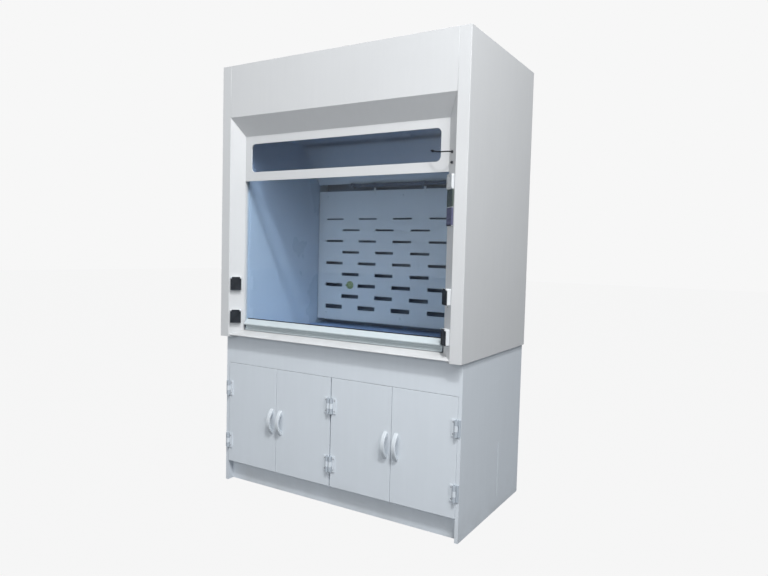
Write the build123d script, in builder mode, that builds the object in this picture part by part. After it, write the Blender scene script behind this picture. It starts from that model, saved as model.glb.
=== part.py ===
"""A free-standing laboratory fume hood of welded polypropylene sheet on a four-door base cabinet.

Millimetres, +Z up. X runs to the right across the front, +Y runs from the front to the back, and the origin
is on the floor at the centre of the footprint. Depths are given from the hood's front face with deep().
"""

from build123d import *
import math
import os

os.makedirs("parts", exist_ok=True)

# ---------------------------------------------------------------- driving dimensions
hood_width = 1500.0
hood_depth = 850.0
hood_height = 2350.0
worktop_height = 870.0
worktop_thickness = 25.0
opening_width = 1260.0  # clear width between the jambs
opening_top = 1721.0  # underside of the transom
sash_travel = 560.0

side_board = 12.0  # outer side panels of the hood
sheet = 8.0  # bent front sheets and the liner
thin_sheet = 6.0  # transom, baffles and airfoil sill
back_board = 10.0
base_board = 18.0  # sides, doors, floor and shelves of the base cabinet

post_face = 60.0  # width of the flat front face of each post
splay_reach = 60.0  # the 45 degree splay goes this far in and this far back
base_setback = 45.0  # the base's front face stands this far behind the hood's
base_inset = 10.0  # and its sides this far inside the hood's
door_bottom = 114.0
door_top = 688.0
kick_setback = 85.0

cover_half = 30.0  # half the width of a mains socket and its cover
socket_depth = 17.0  # how far a socket box stands off the splay
cover_gap = 0.3
cover_thickness = 4.0
socket_shift = 4.0  # the sockets sit this far outboard of the splay's middle

# ---------------------------------------------------------------- worked out from them
root2 = math.sqrt(2)
half_width = hood_width / 2
half_opening = opening_width / 2
bend_x = half_width - post_face  # where the post's flat face turns into the splay
base_top = worktop_height - worktop_thickness
cover_front = socket_depth + cover_gap + cover_thickness
front_overhang = (cover_half + socket_shift + cover_front) / root2 - splay_reach / 2
front_y = (front_overhang - hood_depth) / 2
side_inner = half_width - side_board
base_outer = half_width - base_inset
base_inner = base_outer - base_board


def deep(distance):
    """Y of a point that lies this far behind the hood's front face."""
    return front_y + distance


def board(x_span, y_span, z_span, mode=Mode.ADD):
    """A rectangular board between the limits given, in the part that is being built."""
    centre = [(low + high) / 2 for low, high in (x_span, y_span, z_span)]
    with Locations(tuple(centre)):
        Box(*[high - low for low, high in (x_span, y_span, z_span)], mode=mode)


def plan_outline(points, z_span):
    """A closed outline of (x, depth) points, extruded upwards between two heights."""
    with BuildSketch(Plane.XY.offset(z_span[0])) as outline:
        with BuildLine():
            Polyline(*[(x, deep(d)) for x, d in points], close=True)
        make_face()
    extrude(outline.sketch, amount=z_span[1] - z_span[0])


def side_outline(points, x_span, mode=Mode.ADD):
    """A closed outline of (depth, z) points, extruded along X between two places."""
    with BuildSketch(Plane.YZ.offset(x_span[0])) as outline:
        with BuildLine():
            Polyline(*[(deep(d), z) for d, z in points], close=True)
        make_face()
    extrude(outline.sketch, amount=x_span[1] - x_span[0], mode=mode)


def splay_plane(side, z):
    """The plane of a splay: x along it, y upwards and z out into the room, centred at a height.

    side is 1 for the right post and -1 for the left one.
    """
    return Plane(
        origin=(side * (half_opening + splay_reach / 2), deep(splay_reach / 2), z),
        x_dir=(1, -side, 0),
        z_dir=(-side, -1, 0),
    )


# ================================================================ base cabinet
base_front = base_setback
door_back = base_front + base_board
inner_back = hood_depth - back_board
carcass_front = 66.0  # the partition's and floor's front edges, behind the doors' swing
kick_height = door_bottom - 1.0
deck_top = kick_height + base_board

with BuildPart() as base_sides:
    board((base_inner, base_outer), (deep(base_front), deep(hood_depth)), (0, base_top))
    mirror(about=Plane.YZ)
base_sides.part.label = "base_sides"
export_step(base_sides.part, "parts/base_sides.step")

with BuildPart() as base_floor:
    board((-base_inner, base_inner), (deep(carcass_front), deep(inner_back)), (kick_height, deck_top))
base_floor.part.label = "base_floor"
export_step(base_floor.part, "parts/base_floor.step")

back_bottom = 60.0
with BuildPart() as base_back:
    board((-base_inner, base_inner), (deep(inner_back), deep(hood_depth)), (back_bottom, base_top))
base_back.part.label = "base_back"
export_step(base_back.part, "parts/base_back.step")

partition_half = base_board / 2
with BuildPart() as base_partition:
    board((-partition_half, partition_half), (deep(carcass_front), deep(inner_back)), (deck_top, base_top))
base_partition.part.label = "base_partition"
export_step(base_partition.part, "parts/base_partition.step")

# one shelf in each half of the cabinet, lying on four pins
shelf_underside = 480.0
shelf_front = 110.0
shelf_back = 830.0
pin_radius = 3.0
pin_gap = 0.05
pin_length = 12.0
pin_setback = 60.0  # from a shelf's front or back edge to its pins
with BuildPart() as storage_shelves:
    board(
        (partition_half + 1, base_inner - 1),
        (deep(shelf_front), deep(shelf_back)),
        (shelf_underside, shelf_underside + base_board),
    )
    for wall_x, inward in ((partition_half, 1), (base_inner, -1)):
        for pin_depth in (shelf_front + pin_setback, shelf_back - pin_setback):
            pin_x = wall_x + inward * pin_length / 2
            with Locations((pin_x, deep(pin_depth), shelf_underside - pin_radius - pin_gap)):
                Cylinder(pin_radius, pin_length, rotation=(0, 90, 0))
    mirror(about=Plane.YZ)
storage_shelves.part.label = "storage_shelves"
export_step(storage_shelves.part, "parts/storage_shelves.step")

kick_board = 12.0
kick_gap = 2.0  # above the floor
with BuildPart() as toe_kick:
    board(
        (-base_inner, base_inner),
        (deep(kick_setback), deep(kick_setback + kick_board)),
        (kick_gap, kick_height),
    )
toe_kick.part.label = "toe_kick"
export_step(toe_kick.part, "parts/toe_kick.step")

with BuildPart() as apron_panel:
    board((-base_inner, base_inner), (deep(base_front), deep(door_back)), (door_top + 2, base_top))
apron_panel.part.label = "apron_panel"
export_step(apron_panel.part, "parts/apron_panel.step")

foot_radius = 30.0
foot_thickness = 12.0
foot_plate = 6.0
stem_radius = 6.0
foot_plate_side = 70.0
feet_x = (-640.0, 0.0, 640.0)
feet_depths = (180.0, 780.0)
with BuildPart() as levelling_feet:
    for foot_x in feet_x:
        for foot_depth in feet_depths:
            spot = (foot_x, deep(foot_depth))
            with Locations((*spot, foot_thickness / 2)):
                Cylinder(foot_radius, foot_thickness)
            with Locations((*spot, kick_height / 2)):
                Cylinder(stem_radius, kick_height)
            with Locations((*spot, kick_height - foot_plate / 2)):
                Box(foot_plate_side, foot_plate_side, foot_plate)
    chamfer(levelling_feet.faces().sort_by(Axis.Z)[:6].edges(), 2)
levelling_feet.part.label = "levelling_feet"
export_step(levelling_feet.part, "parts/levelling_feet.step")

# a twin magnet under the apron holds each pair of doors shut
seam_x = 367.0  # where two doors meet
catch_half = 45.0
catch_plate = 3.0
catch_body = 17.0  # from the doors' back face to the magnet's far side
catch_reach = 20.0  # how far the magnet hangs below the apron
plate_height = 35.0
door_gap = 2.0  # between the doors and the apron
with BuildPart() as door_catches:
    catch_span = (seam_x - catch_half, seam_x + catch_half)
    apron_edge = door_top + door_gap
    board(
        catch_span,
        (deep(door_back), deep(door_back + catch_plate)),
        (apron_edge, apron_edge + plate_height),
    )
    board(
        catch_span,
        (deep(door_back + 1), deep(door_back + catch_body)),
        (door_top - catch_reach, apron_edge),
    )
    mirror(about=Plane.YZ)
door_catches.part.label = "door_catches"
export_step(door_catches.part, "parts/door_catches.step")

# ================================================================ doors and their hinges
barrel_radius = 9.0
barrel_gap = 0.5
hinge_depth = base_front - barrel_radius - barrel_gap  # depth of the hinge axes
hinge_height = 80.0
knuckle_height = 26.0
hinge_pin_radius = 3.0
running_clearance = 0.05
leaf_thickness = 5.0
leaf_reach = 26.0
hinge_centres = (236.0, 542.0)
outer_hinge_x = 718.0
inner_hinge_x = 9.5
web_half = 2.2  # half the middle hinge's web, in the slit between the two inner doors


def knuckle(x, z_low, z_high):
    """One knuckle of a barrel hinge, bored for its pin, standing at (x, hinge depth)."""
    with BuildSketch(Plane.XY.offset(z_low)) as ring:
        with Locations((x, deep(hinge_depth))):
            Circle(barrel_radius)
    extrude(ring.sketch, amount=z_high - z_low)


def pin_bore(x):
    """The bore for the hinge pins, right through what stands at (x, hinge depth)."""
    with BuildSketch(Plane.XY.offset(door_bottom)) as bore:
        with Locations((x, deep(hinge_depth))):
            Circle(hinge_pin_radius + running_clearance)
    extrude(bore.sketch, amount=door_top - door_bottom, mode=Mode.SUBTRACT)


def end_spans(centre):
    """The heights of a hinge's two frame knuckles, below and above the door's."""
    low, high = centre - hinge_height / 2, centre + hinge_height / 2
    return (low, low + knuckle_height), (high - knuckle_height, high)


with BuildPart() as hinge_frame_leaves:
    leaf_front, leaf_back = deep(base_front - leaf_thickness), deep(base_front)
    plate_x = outer_hinge_x + barrel_radius + 1.5
    for centre in hinge_centres:
        full_height = (centre - hinge_height / 2, centre + hinge_height / 2)
        for side in (-1, 1):
            outer_span = sorted((side * plate_x, side * (base_outer - 2)))
            arm_span = sorted((side * outer_hinge_x, side * (base_outer - 2)))
            board(outer_span, (leaf_front, leaf_back), full_height)
            for z_span in end_spans(centre):
                knuckle(side * outer_hinge_x, *z_span)
                knuckle(side * inner_hinge_x, *z_span)
                board(arm_span, (leaf_front, leaf_back), z_span)
        board((-web_half, web_half), (leaf_back + barrel_gap, deep(carcass_front)), full_height)
        for z_span in end_spans(centre):
            board((-web_half, web_half), (deep(hinge_depth), deep(carcass_front)), z_span)
    for hinge_x in (-outer_hinge_x, -inner_hinge_x, inner_hinge_x, outer_hinge_x):
        pin_bore(hinge_x)
hinge_frame_leaves.part.label = "hinge_frame_leaves"
export_step(hinge_frame_leaves.part, "parts/hinge_frame_leaves.step")

with BuildPart() as hinge_pins:
    for centre in hinge_centres:
        for hinge_x in (-outer_hinge_x, -inner_hinge_x, inner_hinge_x, outer_hinge_x):
            with Locations((hinge_x, deep(hinge_depth), centre)):
                Cylinder(hinge_pin_radius, hinge_height + 2)
hinge_pins.part.label = "hinge_pins"
export_step(hinge_pins.part, "parts/hinge_pins.step")

# each door: its hinge's x, the way it runs from the hinge, and its two edges
outer_edge = base_inner - 1.5
doors = (
    (-outer_hinge_x, 1, -outer_edge, -seam_x - 1),
    (-inner_hinge_x, -1, -seam_x + 1, -3.0),
    (inner_hinge_x, 1, 3.0, seam_x - 1),
    (outer_hinge_x, -1, seam_x + 1, outer_edge),
)
handle_offset = 31.0  # from the seam to a handle's middle
handle_width = 22.0
handle_feet = 115.0  # between the middles of its two feet
handle_height = 394.5  # height of a handle's middle
handle_rise = 35.0
handle_thickness = 11.0  # of the bow at its middle
foot_half = 12.5  # half a foot's height on the door
handle_edge = 3.5

for number, (hinge_x, way, low_x, high_x) in enumerate(doors, start=1):
    with BuildPart() as door:
        board((low_x, high_x), (deep(base_front), deep(door_back)), (door_bottom, door_top))
        chamfer(door.faces().sort_by(Axis.Y)[0].edges(), 1.5)
        for centre in hinge_centres:
            ends = end_spans(centre)
            middle = (ends[0][1] + barrel_gap, ends[1][0] - barrel_gap)
            near, far = hinge_x + way * (barrel_radius + barrel_gap), hinge_x + way * leaf_reach
            board(
                sorted((near, far)),
                (leaf_front, leaf_back + 1),
                (centre - hinge_height / 2, centre + hinge_height / 2),
            )
            board(sorted((hinge_x, far)), (leaf_front, leaf_back), middle)
            knuckle(hinge_x, *middle)
        pin_bore(hinge_x)
    door.part.label = f"door_{number}"
    export_step(door.part, f"parts/door_{number}.step")

    handle_x = math.copysign(seam_x + (handle_offset if number in (1, 4) else -handle_offset), low_x + high_x)
    with BuildPart() as handle:
        outer_foot = handle_feet / 2 + foot_half
        inner_foot = handle_feet / 2 - foot_half
        grip_inner = handle_rise - handle_thickness
        face_y = deep(base_front)
        with BuildSketch(Plane.YZ.offset(handle_x - handle_width / 2)):
            with BuildLine():
                top, bottom = handle_height + outer_foot, handle_height - outer_foot
                ThreePointArc((face_y, top), (face_y - handle_rise, handle_height), (face_y, bottom))
                Line((face_y, bottom), (face_y, handle_height - inner_foot))
                ThreePointArc(
                    (face_y, handle_height - inner_foot),
                    (face_y - grip_inner, handle_height),
                    (face_y, handle_height + inner_foot),
                )
                Line((face_y, handle_height + inner_foot), (face_y, top))
            make_face()
        extrude(amount=handle_width)
        curved = [e for e in handle.edges() if e.geom_type == GeomType.CIRCLE]
        fillet(curved, handle_edge)
    handle.part.label = f"door_handle_{number}"
    export_step(handle.part, f"parts/door_handle_{number}.step")

# ================================================================ hood shell
roof_top = hood_height - 2
roof_underside = roof_top - 10
header_bottom = 2068.0
soffit_bottom = 1968.0

with BuildPart() as hood_sides:
    board((side_inner, half_width), (deep(sheet), deep(inner_back)), (base_top, hood_height))
    mirror(about=Plane.YZ)
hood_sides.part.label = "hood_sides"
export_step(hood_sides.part, "parts/hood_sides.step")

with BuildPart() as hood_back:
    board((-half_width, half_width), (deep(inner_back), deep(hood_depth)), (base_top, hood_height))
hood_back.part.label = "hood_back"
export_step(hood_back.part, "parts/hood_back.step")

# each post is one sheet with two bends: front face, splay, and a return into the opening
return_end = 75.0
splay_inner = bend_x + sheet * root2  # where the splay's hidden face meets the front plane
with BuildPart() as front_posts:
    plan_outline(
        (
            (half_width, 0),
            (bend_x, 0),
            (half_opening, splay_reach),
            (half_opening, return_end),
            (half_opening + sheet, return_end),
            (half_opening + sheet, splay_inner - half_opening - sheet),
            (splay_inner - sheet, sheet),
            (half_width, sheet),
        ),
        (base_top, hood_height),
    )
    upright = front_posts.edges().filter_by(Axis.Z)
    fillet(upright.filter_by_position(Axis.Y, deep(-0.1), deep(0.1)), 2.5)
    mirror(about=Plane.YZ)
front_posts.part.label = "front_posts"
export_step(front_posts.part, "parts/front_posts.step")

# the header's face and its sloping soffit, mitred at both ends against the splays
soffit_run = math.hypot(splay_reach, header_bottom - soffit_bottom)
soffit_rise = sheet * soffit_run / splay_reach  # vertical thickness of the sloping sheet
slope = (header_bottom - soffit_bottom) / splay_reach
with BuildPart() as header_panel:
    side_outline(
        (
            (0, header_bottom),
            (0, hood_height),
            (sheet, hood_height),
            (sheet, header_bottom - slope * sheet + soffit_rise),
            (splay_reach, soffit_bottom + soffit_rise),
            (splay_reach, soffit_bottom),
        ),
        (-bend_x, bend_x),
    )
    with BuildSketch(Plane.XY.offset(soffit_bottom)):
        with BuildLine():
            seam = 0.5
            Polyline(
                (-bend_x + seam, deep(0)),
                (bend_x - seam, deep(0)),
                (half_opening - seam, deep(splay_reach)),
                (-half_opening + seam, deep(splay_reach)),
                close=True,
            )
        make_face()
    extrude(amount=hood_height - soffit_bottom, mode=Mode.INTERSECT)
header_panel.part.label = "header_panel"
export_step(header_panel.part, "parts/header_panel.step")

# fixed transom behind the soffit, with its long viewing window
window_bottom = 1769.5
window_top = 1925.0
window_half = 586.0
window_corner = 25.0
glass_lap = 15.0
fixed_glass = 5.0
transom_back = splay_reach + thin_sheet
with BuildPart() as transom_panel:
    board(
        (-half_opening + 0.5, half_opening - 0.5),
        (deep(splay_reach), deep(transom_back)),
        (opening_top, soffit_bottom + 42),
    )
    window_plane = Plane.XZ.offset(-deep(splay_reach))
    with BuildSketch(window_plane):
        with Locations((0, (window_bottom + window_top) / 2)):
            RectangleRounded(2 * window_half, window_top - window_bottom, window_corner)
    extrude(amount=-thin_sheet, mode=Mode.SUBTRACT)
transom_panel.part.label = "transom_panel"
export_step(transom_panel.part, "parts/transom_panel.step")

with BuildPart() as transom_glass:
    board(
        (-window_half - glass_lap, window_half + glass_lap),
        (deep(transom_back), deep(transom_back + fixed_glass)),
        (window_bottom - glass_lap, window_top + glass_lap),
    )
transom_glass.part.label = "transom_glass"
export_step(transom_glass.part, "parts/transom_glass.step")

# ================================================================ exhaust
collar_depth = 688.0
collar_radius = 125.0
collar_wall = 5.0
collar_top = hood_height + 60
flange_radius = 150.0
flange_thickness = 6.0

# the roof fits inside the shell, slit at each front corner to pass the post's bent sheet
post_slit = (
    (0, sheet),
    (bend_x - sheet - 0.5, sheet),
    (half_opening - 0.5, splay_reach),
    (half_opening - 0.5, return_end + 0.5),
    (half_opening + sheet + 0.5, return_end + 0.5),
    (half_opening + sheet + 0.5, splay_inner - half_opening - sheet),
    (splay_inner - sheet + 0.5, sheet),
    (side_inner, sheet),
    (side_inner, inner_back),
)
with BuildPart() as roof_panel:
    plan_outline(
        post_slit + tuple((-x, d) for x, d in reversed(post_slit[1:])),
        (roof_underside, roof_top),
    )
    with Locations((0, deep(collar_depth), roof_top)):
        Hole(collar_radius + 0.3)
roof_panel.part.label = "roof_panel"
export_step(roof_panel.part, "parts/roof_panel.step")

with BuildPart() as exhaust_collar:
    with BuildSketch(Plane.XY.offset(roof_underside)):
        with Locations((0, deep(collar_depth))):
            Circle(collar_radius)
    extrude(amount=collar_top - roof_underside)
    with BuildSketch(Plane.XY.offset(roof_top)):
        with Locations((0, deep(collar_depth))):
            Circle(flange_radius)
    extrude(amount=flange_thickness)
    with BuildSketch(Plane.XY.offset(roof_underside)):
        with Locations((0, deep(collar_depth))):
            Circle(collar_radius - collar_wall)
    extrude(amount=collar_top - roof_underside, mode=Mode.SUBTRACT)
exhaust_collar.part.label = "exhaust_collar"
export_step(exhaust_collar.part, "parts/exhaust_collar.step")

# ================================================================ chamber
liner_front = 97.0
liner_top = 2000.0
plenum_front = 566.0
with BuildPart() as liner_sides:
    side_outline(
        (
            (liner_front, worktop_height),
            (inner_back, worktop_height),
            (inner_back, roof_underside),
            (plenum_front, roof_underside),
            (plenum_front, liner_top),
            (liner_front, liner_top),
        ),
        (half_opening, half_opening + sheet),
    )
    mirror(about=Plane.YZ)
liner_sides.part.label = "liner_sides"
export_step(liner_sides.part, "parts/liner_sides.step")

lamp_half = 300.0
lamp_front = 230.0
lamp_back = 350.0
with BuildPart() as liner_ceiling:
    board(
        (-half_opening - sheet, half_opening + sheet),
        (deep(liner_front), deep(plenum_front)),
        (liner_top, liner_top + sheet),
    )
    board(
        (-half_opening, half_opening),
        (deep(plenum_front - sheet), deep(plenum_front)),
        (liner_top + sheet, roof_underside),
    )
    board(
        (-lamp_half, lamp_half),
        (deep(lamp_front), deep(lamp_back)),
        (liner_top, liner_top + sheet),
        mode=Mode.SUBTRACT,
    )
liner_ceiling.part.label = "liner_ceiling"
export_step(liner_ceiling.part, "parts/liner_ceiling.step")

lamp_lap = 10.0
diffuser_top = liner_top + sheet + 4
with BuildPart() as lamp_diffuser:
    board(
        (-lamp_half - lamp_lap, lamp_half + lamp_lap),
        (deep(lamp_front - lamp_lap), deep(lamp_back + lamp_lap)),
        (liner_top + sheet, diffuser_top),
    )
lamp_diffuser.part.label = "lamp_diffuser"
export_step(lamp_diffuser.part, "parts/lamp_diffuser.step")

lamp_height = 80.0
lamp_sheet = 2.0
with BuildPart() as lamp_housing:
    board(
        (-lamp_half - lamp_lap, lamp_half + lamp_lap),
        (deep(lamp_front - lamp_lap), deep(lamp_back + lamp_lap)),
        (diffuser_top, diffuser_top + lamp_height),
    )
    underside = lamp_housing.faces().sort_by(Axis.Z)[0]
    offset(amount=-lamp_sheet, openings=underside)
lamp_housing.part.label = "lamp_housing"
export_step(lamp_housing.part, "parts/lamp_housing.step")

# slotted lower baffle: nine rows, five and four slots in turn, that grow towards the worktop
baffle_front = 748.0
baffle_back = baffle_front + thin_sheet
baffle_bottom = 900.0
baffle_top = 1725.0
baffle_half = 626.0
slot_rows = 9
slot_pitch = 70.5
top_row = 1549.0
slot_length = 131.0
slot_spacing = 249.0
top_slot_height = 10.0
bottom_slot_height = 27.0
slot_corner = 2.0
with BuildPart() as baffle_lower:
    board((-baffle_half, baffle_half), (deep(baffle_front), deep(baffle_back)), (baffle_bottom, baffle_top))
    with BuildSketch(Plane.XZ.offset(-deep(baffle_front))) as slots:
        for row in range(slot_rows):
            slot_height = top_slot_height + (bottom_slot_height - top_slot_height) * row / (slot_rows - 1)
            count = 5 if row % 2 == 0 else 4
            for column in range(count):
                slot_x = (column - (count - 1) / 2) * slot_spacing
                with Locations((slot_x, top_row - row * slot_pitch)):
                    RectangleRounded(slot_length, slot_height, slot_corner)
    extrude(slots.sketch, amount=-thin_sheet, mode=Mode.SUBTRACT)
baffle_lower.part.label = "baffle_lower"
export_step(baffle_lower.part, "parts/baffle_lower.step")

upper_baffle_bottom = 1770.0
upper_baffle_end = (585.0, 1985.0)
upper_run = math.hypot(baffle_front - upper_baffle_end[0], upper_baffle_end[1] - upper_baffle_bottom)
lean_x = thin_sheet * (upper_baffle_end[1] - upper_baffle_bottom) / upper_run
lean_z = thin_sheet * (baffle_front - upper_baffle_end[0]) / upper_run
with BuildPart() as baffle_upper:
    side_outline(
        (
            (baffle_front, upper_baffle_bottom),
            upper_baffle_end,
            (upper_baffle_end[0] + lean_x, upper_baffle_end[1] + lean_z),
            (baffle_front + lean_x, upper_baffle_bottom + lean_z),
        ),
        (-half_opening, half_opening),
    )
baffle_upper.part.label = "baffle_upper"
export_step(baffle_upper.part, "parts/baffle_upper.step")

block_half = 15.0
with BuildPart() as baffle_brackets:
    for block_x in (-560, 0, 560):
        for block_z in (baffle_bottom + 40, baffle_top - 35):
            board(
                (block_x - block_half, block_x + block_half),
                (deep(baffle_back), deep(inner_back)),
                (block_z - block_half, block_z + block_half),
            )
baffle_brackets.part.label = "baffle_brackets"
export_step(baffle_brackets.part, "parts/baffle_brackets.step")

# worktop slab: full width behind the posts, with a tongue between them
tongue_front = 55.0
tongue_half = half_opening - 2
with BuildPart() as worktop:
    board((-side_inner, side_inner), (deep(return_end + 1), deep(inner_back)), (base_top, worktop_height))
    board((-tongue_half, tongue_half), (deep(tongue_front), deep(return_end + 1)), (base_top, worktop_height))
    nose = worktop.faces().filter_by(Axis.Y).sort_by(Axis.Y)[0].edges().sort_by(Axis.Z)[-1]
    chamfer(nose, 10)
worktop.part.label = "worktop"
export_step(worktop.part, "parts/worktop.step")

# airfoil sill: a sloping sheet with a rolled nose, on short legs, with the air gap under it
sill_nose = (1.5, 858.5)
sill_bend = (58.0, 881.0)
sill_back = 98.0
sill_run = math.hypot(sill_bend[0] - sill_nose[0], sill_bend[1] - sill_nose[1])
sill_drop = thin_sheet * sill_run / (sill_bend[0] - sill_nose[0])
with BuildPart() as airfoil_sill:
    side_outline(
        (
            sill_nose,
            sill_bend,
            (sill_back, sill_bend[1]),
            (sill_back, sill_bend[1] - thin_sheet),
            (sill_bend[0] + 1.2, sill_bend[1] - thin_sheet),
            (sill_nose[0], sill_nose[1] - sill_drop),
        ),
        (-bend_x, bend_x),
    )
    fillet(airfoil_sill.edges().filter_by(Axis.X).sort_by(Axis.Y)[:2], 2.5)
    for leg_x in (-600, -310, 0, 310, 600):
        board((leg_x - 20, leg_x + 20), (deep(46), deep(54)), (base_top, sill_bend[1] - 8))
    with BuildSketch(Plane.XY.offset(base_top)):
        with BuildLine():
            Polyline(
                (-bend_x + 1, deep(0)),
                (bend_x - 1, deep(0)),
                (half_opening - 1, deep(splay_reach)),
                (half_opening - 1, deep(sill_back)),
                (-half_opening + 1, deep(sill_back)),
                (-half_opening + 1, deep(splay_reach)),
                close=True,
            )
        make_face()
    extrude(amount=sill_bend[1] - base_top + 1, mode=Mode.INTERSECT)
airfoil_sill.part.label = "airfoil_sill"
export_step(airfoil_sill.part, "parts/airfoil_sill.step")

# wash-down pipe along the upper exhaust slot, with its end fitting and three saddles
pipe_radius = 12.5
pipe_depth = 736.0
pipe_height = 1756.5
pipe_end = -345.0
saddle_outer = 16.0
saddle_width = 14.0
pipe_fit = 0.05
cap_radius = 17.0
cap_length = 28.0
flange_width = 8.0
with BuildPart() as wash_pipe:
    with BuildSketch(Plane.YZ.offset(pipe_end)):
        with Locations((deep(pipe_depth), pipe_height)):
            Circle(pipe_radius)
    extrude(amount=half_opening - pipe_end)
    with BuildSketch(Plane.YZ.offset(half_opening - flange_width)):
        with Locations((deep(pipe_depth), pipe_height)):
            Circle(saddle_outer + 1)
            Circle(pipe_radius + pipe_fit, mode=Mode.SUBTRACT)
    extrude(amount=flange_width)
    with BuildSketch(Plane.YZ.offset(pipe_end - cap_length)) as cap:
        with Locations((deep(pipe_depth), pipe_height)):
            Circle(cap_radius)
    extrude(amount=cap_length - 0.1)
    fillet(wash_pipe.faces().sort_by(Axis.X)[0].edges(), cap_radius / 2 - 0.5)
    for saddle_x in (-200, 150, 500):
        with BuildSketch(Plane.YZ.offset(saddle_x - saddle_width / 2)):
            with Locations((deep(pipe_depth), pipe_height)):
                Circle(saddle_outer)
            with Locations((deep(baffle_front - 1.5), 1722.5)):
                Rectangle(3, 48)
            with Locations((deep(pipe_depth), pipe_height)):
                Circle(pipe_radius + pipe_fit, mode=Mode.SUBTRACT)
        extrude(amount=saddle_width)
wash_pipe.part.label = "wash_pipe"
export_step(wash_pipe.part, "parts/wash_pipe.step")

# service outlet on the baffle: flange, body and hose nozzle turned as one piece
outlet_x = -371.0
outlet_height = 1129.0
# its half profile: (radius, distance in front of the baffle), with a minus for forwards
outlet_profile = ((0, 0), (25, 0), (25, -6), (17, -9), (17, -20), (9, -24), (6, -26), (6, -44), (0, -44))
with BuildPart() as service_outlet:
    outlet_foot = (outlet_x, deep(baffle_front), outlet_height)
    with BuildSketch(Plane(origin=outlet_foot, x_dir=(1, 0, 0), z_dir=(0, 0, 1))):
        with BuildLine():
            Polyline(*outlet_profile, close=True)
        make_face()
    revolve(axis=Axis(outlet_foot, (0, 1, 0)))
service_outlet.part.label = "service_outlet"
export_step(service_outlet.part, "parts/service_outlet.step")

# ================================================================ sash and its counterbalance
track_back = liner_front
track_wall = 3.5
track_outer = 683.0
track_top = 2190.0
with BuildPart() as sash_tracks:
    mouth = half_opening + 2
    plan_outline(
        (
            (mouth, return_end),
            (track_outer, return_end),
            (track_outer, track_back),
            (mouth, track_back),
            (mouth, track_back - track_wall),
            (track_outer - 3, track_back - track_wall),
            (track_outer - 3, return_end + track_wall),
            (mouth, return_end + track_wall),
        ),
        (worktop_height, track_top),
    )
    mirror(about=Plane.YZ)
sash_tracks.part.label = "sash_tracks"
export_step(sash_tracks.part, "parts/sash_tracks.step")

glass_front = 83.0
glass_thickness = 6.0
glass_back = glass_front + glass_thickness
glass_half = 640.0
glass_bottom = 895.0
glass_top = 1760.0
with BuildPart() as sash_glass:
    board((-glass_half, glass_half), (deep(glass_front), deep(glass_back)), (glass_bottom, glass_top))
sash_glass.part.label = "sash_glass"
export_step(sash_glass.part, "parts/sash_glass.step")

# the pull rail grips the glass's lower edge; its sloping lip leaves a finger groove below
rail_half = 620.0
rail_bottom = 884.0
rail_top = 945.0
lip_front = 47.0
web_front = 70.0
foot_front = 62.0
clamp_height = rail_top - 20
with BuildPart() as sash_handle_rail:
    side_outline(
        (
            (glass_front, rail_top),
            (glass_front, glass_bottom),
            (glass_back, glass_bottom),
            (glass_back, clamp_height),
            (glass_back + 4, clamp_height),
            (glass_back + 4, rail_bottom),
            (foot_front, rail_bottom),
            (foot_front, rail_bottom + 5),
            (web_front, rail_bottom + 17),
            (web_front, rail_top - 14),
            (lip_front + 4, rail_top - 30.5),
            (lip_front, rail_top - 28),
            (lip_front, rail_top - 24),
            (glass_front - 7, rail_top),
        ),
        (-rail_half, rail_half),
    )
sash_handle_rail.part.label = "sash_handle_rail"
export_step(sash_handle_rail.part, "parts/sash_handle_rail.step")

# a U-shaped rail on each edge of the glass runs in the track; its lug holds the cable
edge_rail_front = return_end + track_wall + 0.5
edge_rail_back = track_back - track_wall - 0.5
edge_rail_inner = 634.0
edge_rail_outer = 648.0
lug_bottom = 1600.0
lug_top = 1640.0
lug_outer = 676.0
with BuildPart() as sash_side_rails:
    board(
        (edge_rail_inner, edge_rail_outer),
        (deep(edge_rail_front), deep(edge_rail_back)),
        (glass_bottom, glass_top - 5),
    )
    board(
        (edge_rail_inner, glass_half),
        (deep(glass_front), deep(glass_back)),
        (glass_bottom, glass_top - 5),
        mode=Mode.SUBTRACT,
    )
    board(
        (edge_rail_outer, lug_outer),
        (deep(edge_rail_front + 1), deep(edge_rail_back - 1)),
        (lug_bottom, lug_top),
    )
    mirror(about=Plane.YZ)
sash_side_rails.part.label = "sash_side_rails"
export_step(sash_side_rails.part, "parts/sash_side_rails.step")

cable_x = 668.0
cable_depth = (glass_front + glass_back) / 2
cable_radius = 2.0
wrap_radius = 55.0
pulley_height = 2260.0
pulley_depth = cable_depth + wrap_radius
pulley_rim = 60.0
pulley_half = 7.0
web_hole_radius = 9.0
web_hole_circle = 30.0
groove_floor = wrap_radius - cable_radius - 0.6
axle_radius = 5.0
for side, name in ((-1, "pulley_left"), (1, "pulley_right")):
    with BuildPart() as pulley:
        hub_plane = Plane(
            origin=(side * cable_x, deep(pulley_depth), pulley_height), x_dir=(1, 0, 0), z_dir=(0, -1, 0)
        )
        with BuildSketch(hub_plane):
            with BuildLine():
                Polyline(
                    (-pulley_half, axle_radius + running_clearance),
                    (pulley_half, axle_radius + running_clearance),
                    (pulley_half, pulley_rim),
                    (pulley_half - 1.5, pulley_rim),
                    (cable_radius + 0.6, groove_floor),
                    (-cable_radius - 0.6, groove_floor),
                    (-pulley_half + 1.5, pulley_rim),
                    (-pulley_half, pulley_rim),
                    close=True,
                )
            make_face()
        revolve(axis=Axis(hub_plane.origin, (1, 0, 0)))
        web_plane = Plane(origin=hub_plane.origin, x_dir=(0, 1, 0), z_dir=(1, 0, 0))
        with BuildSketch(web_plane):
            with PolarLocations(web_hole_circle, 5):
                Circle(web_hole_radius)
        extrude(amount=pulley_half, both=True, mode=Mode.SUBTRACT)
    pulley.part.label = name
    export_step(pulley.part, f"parts/{name}.step")

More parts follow.
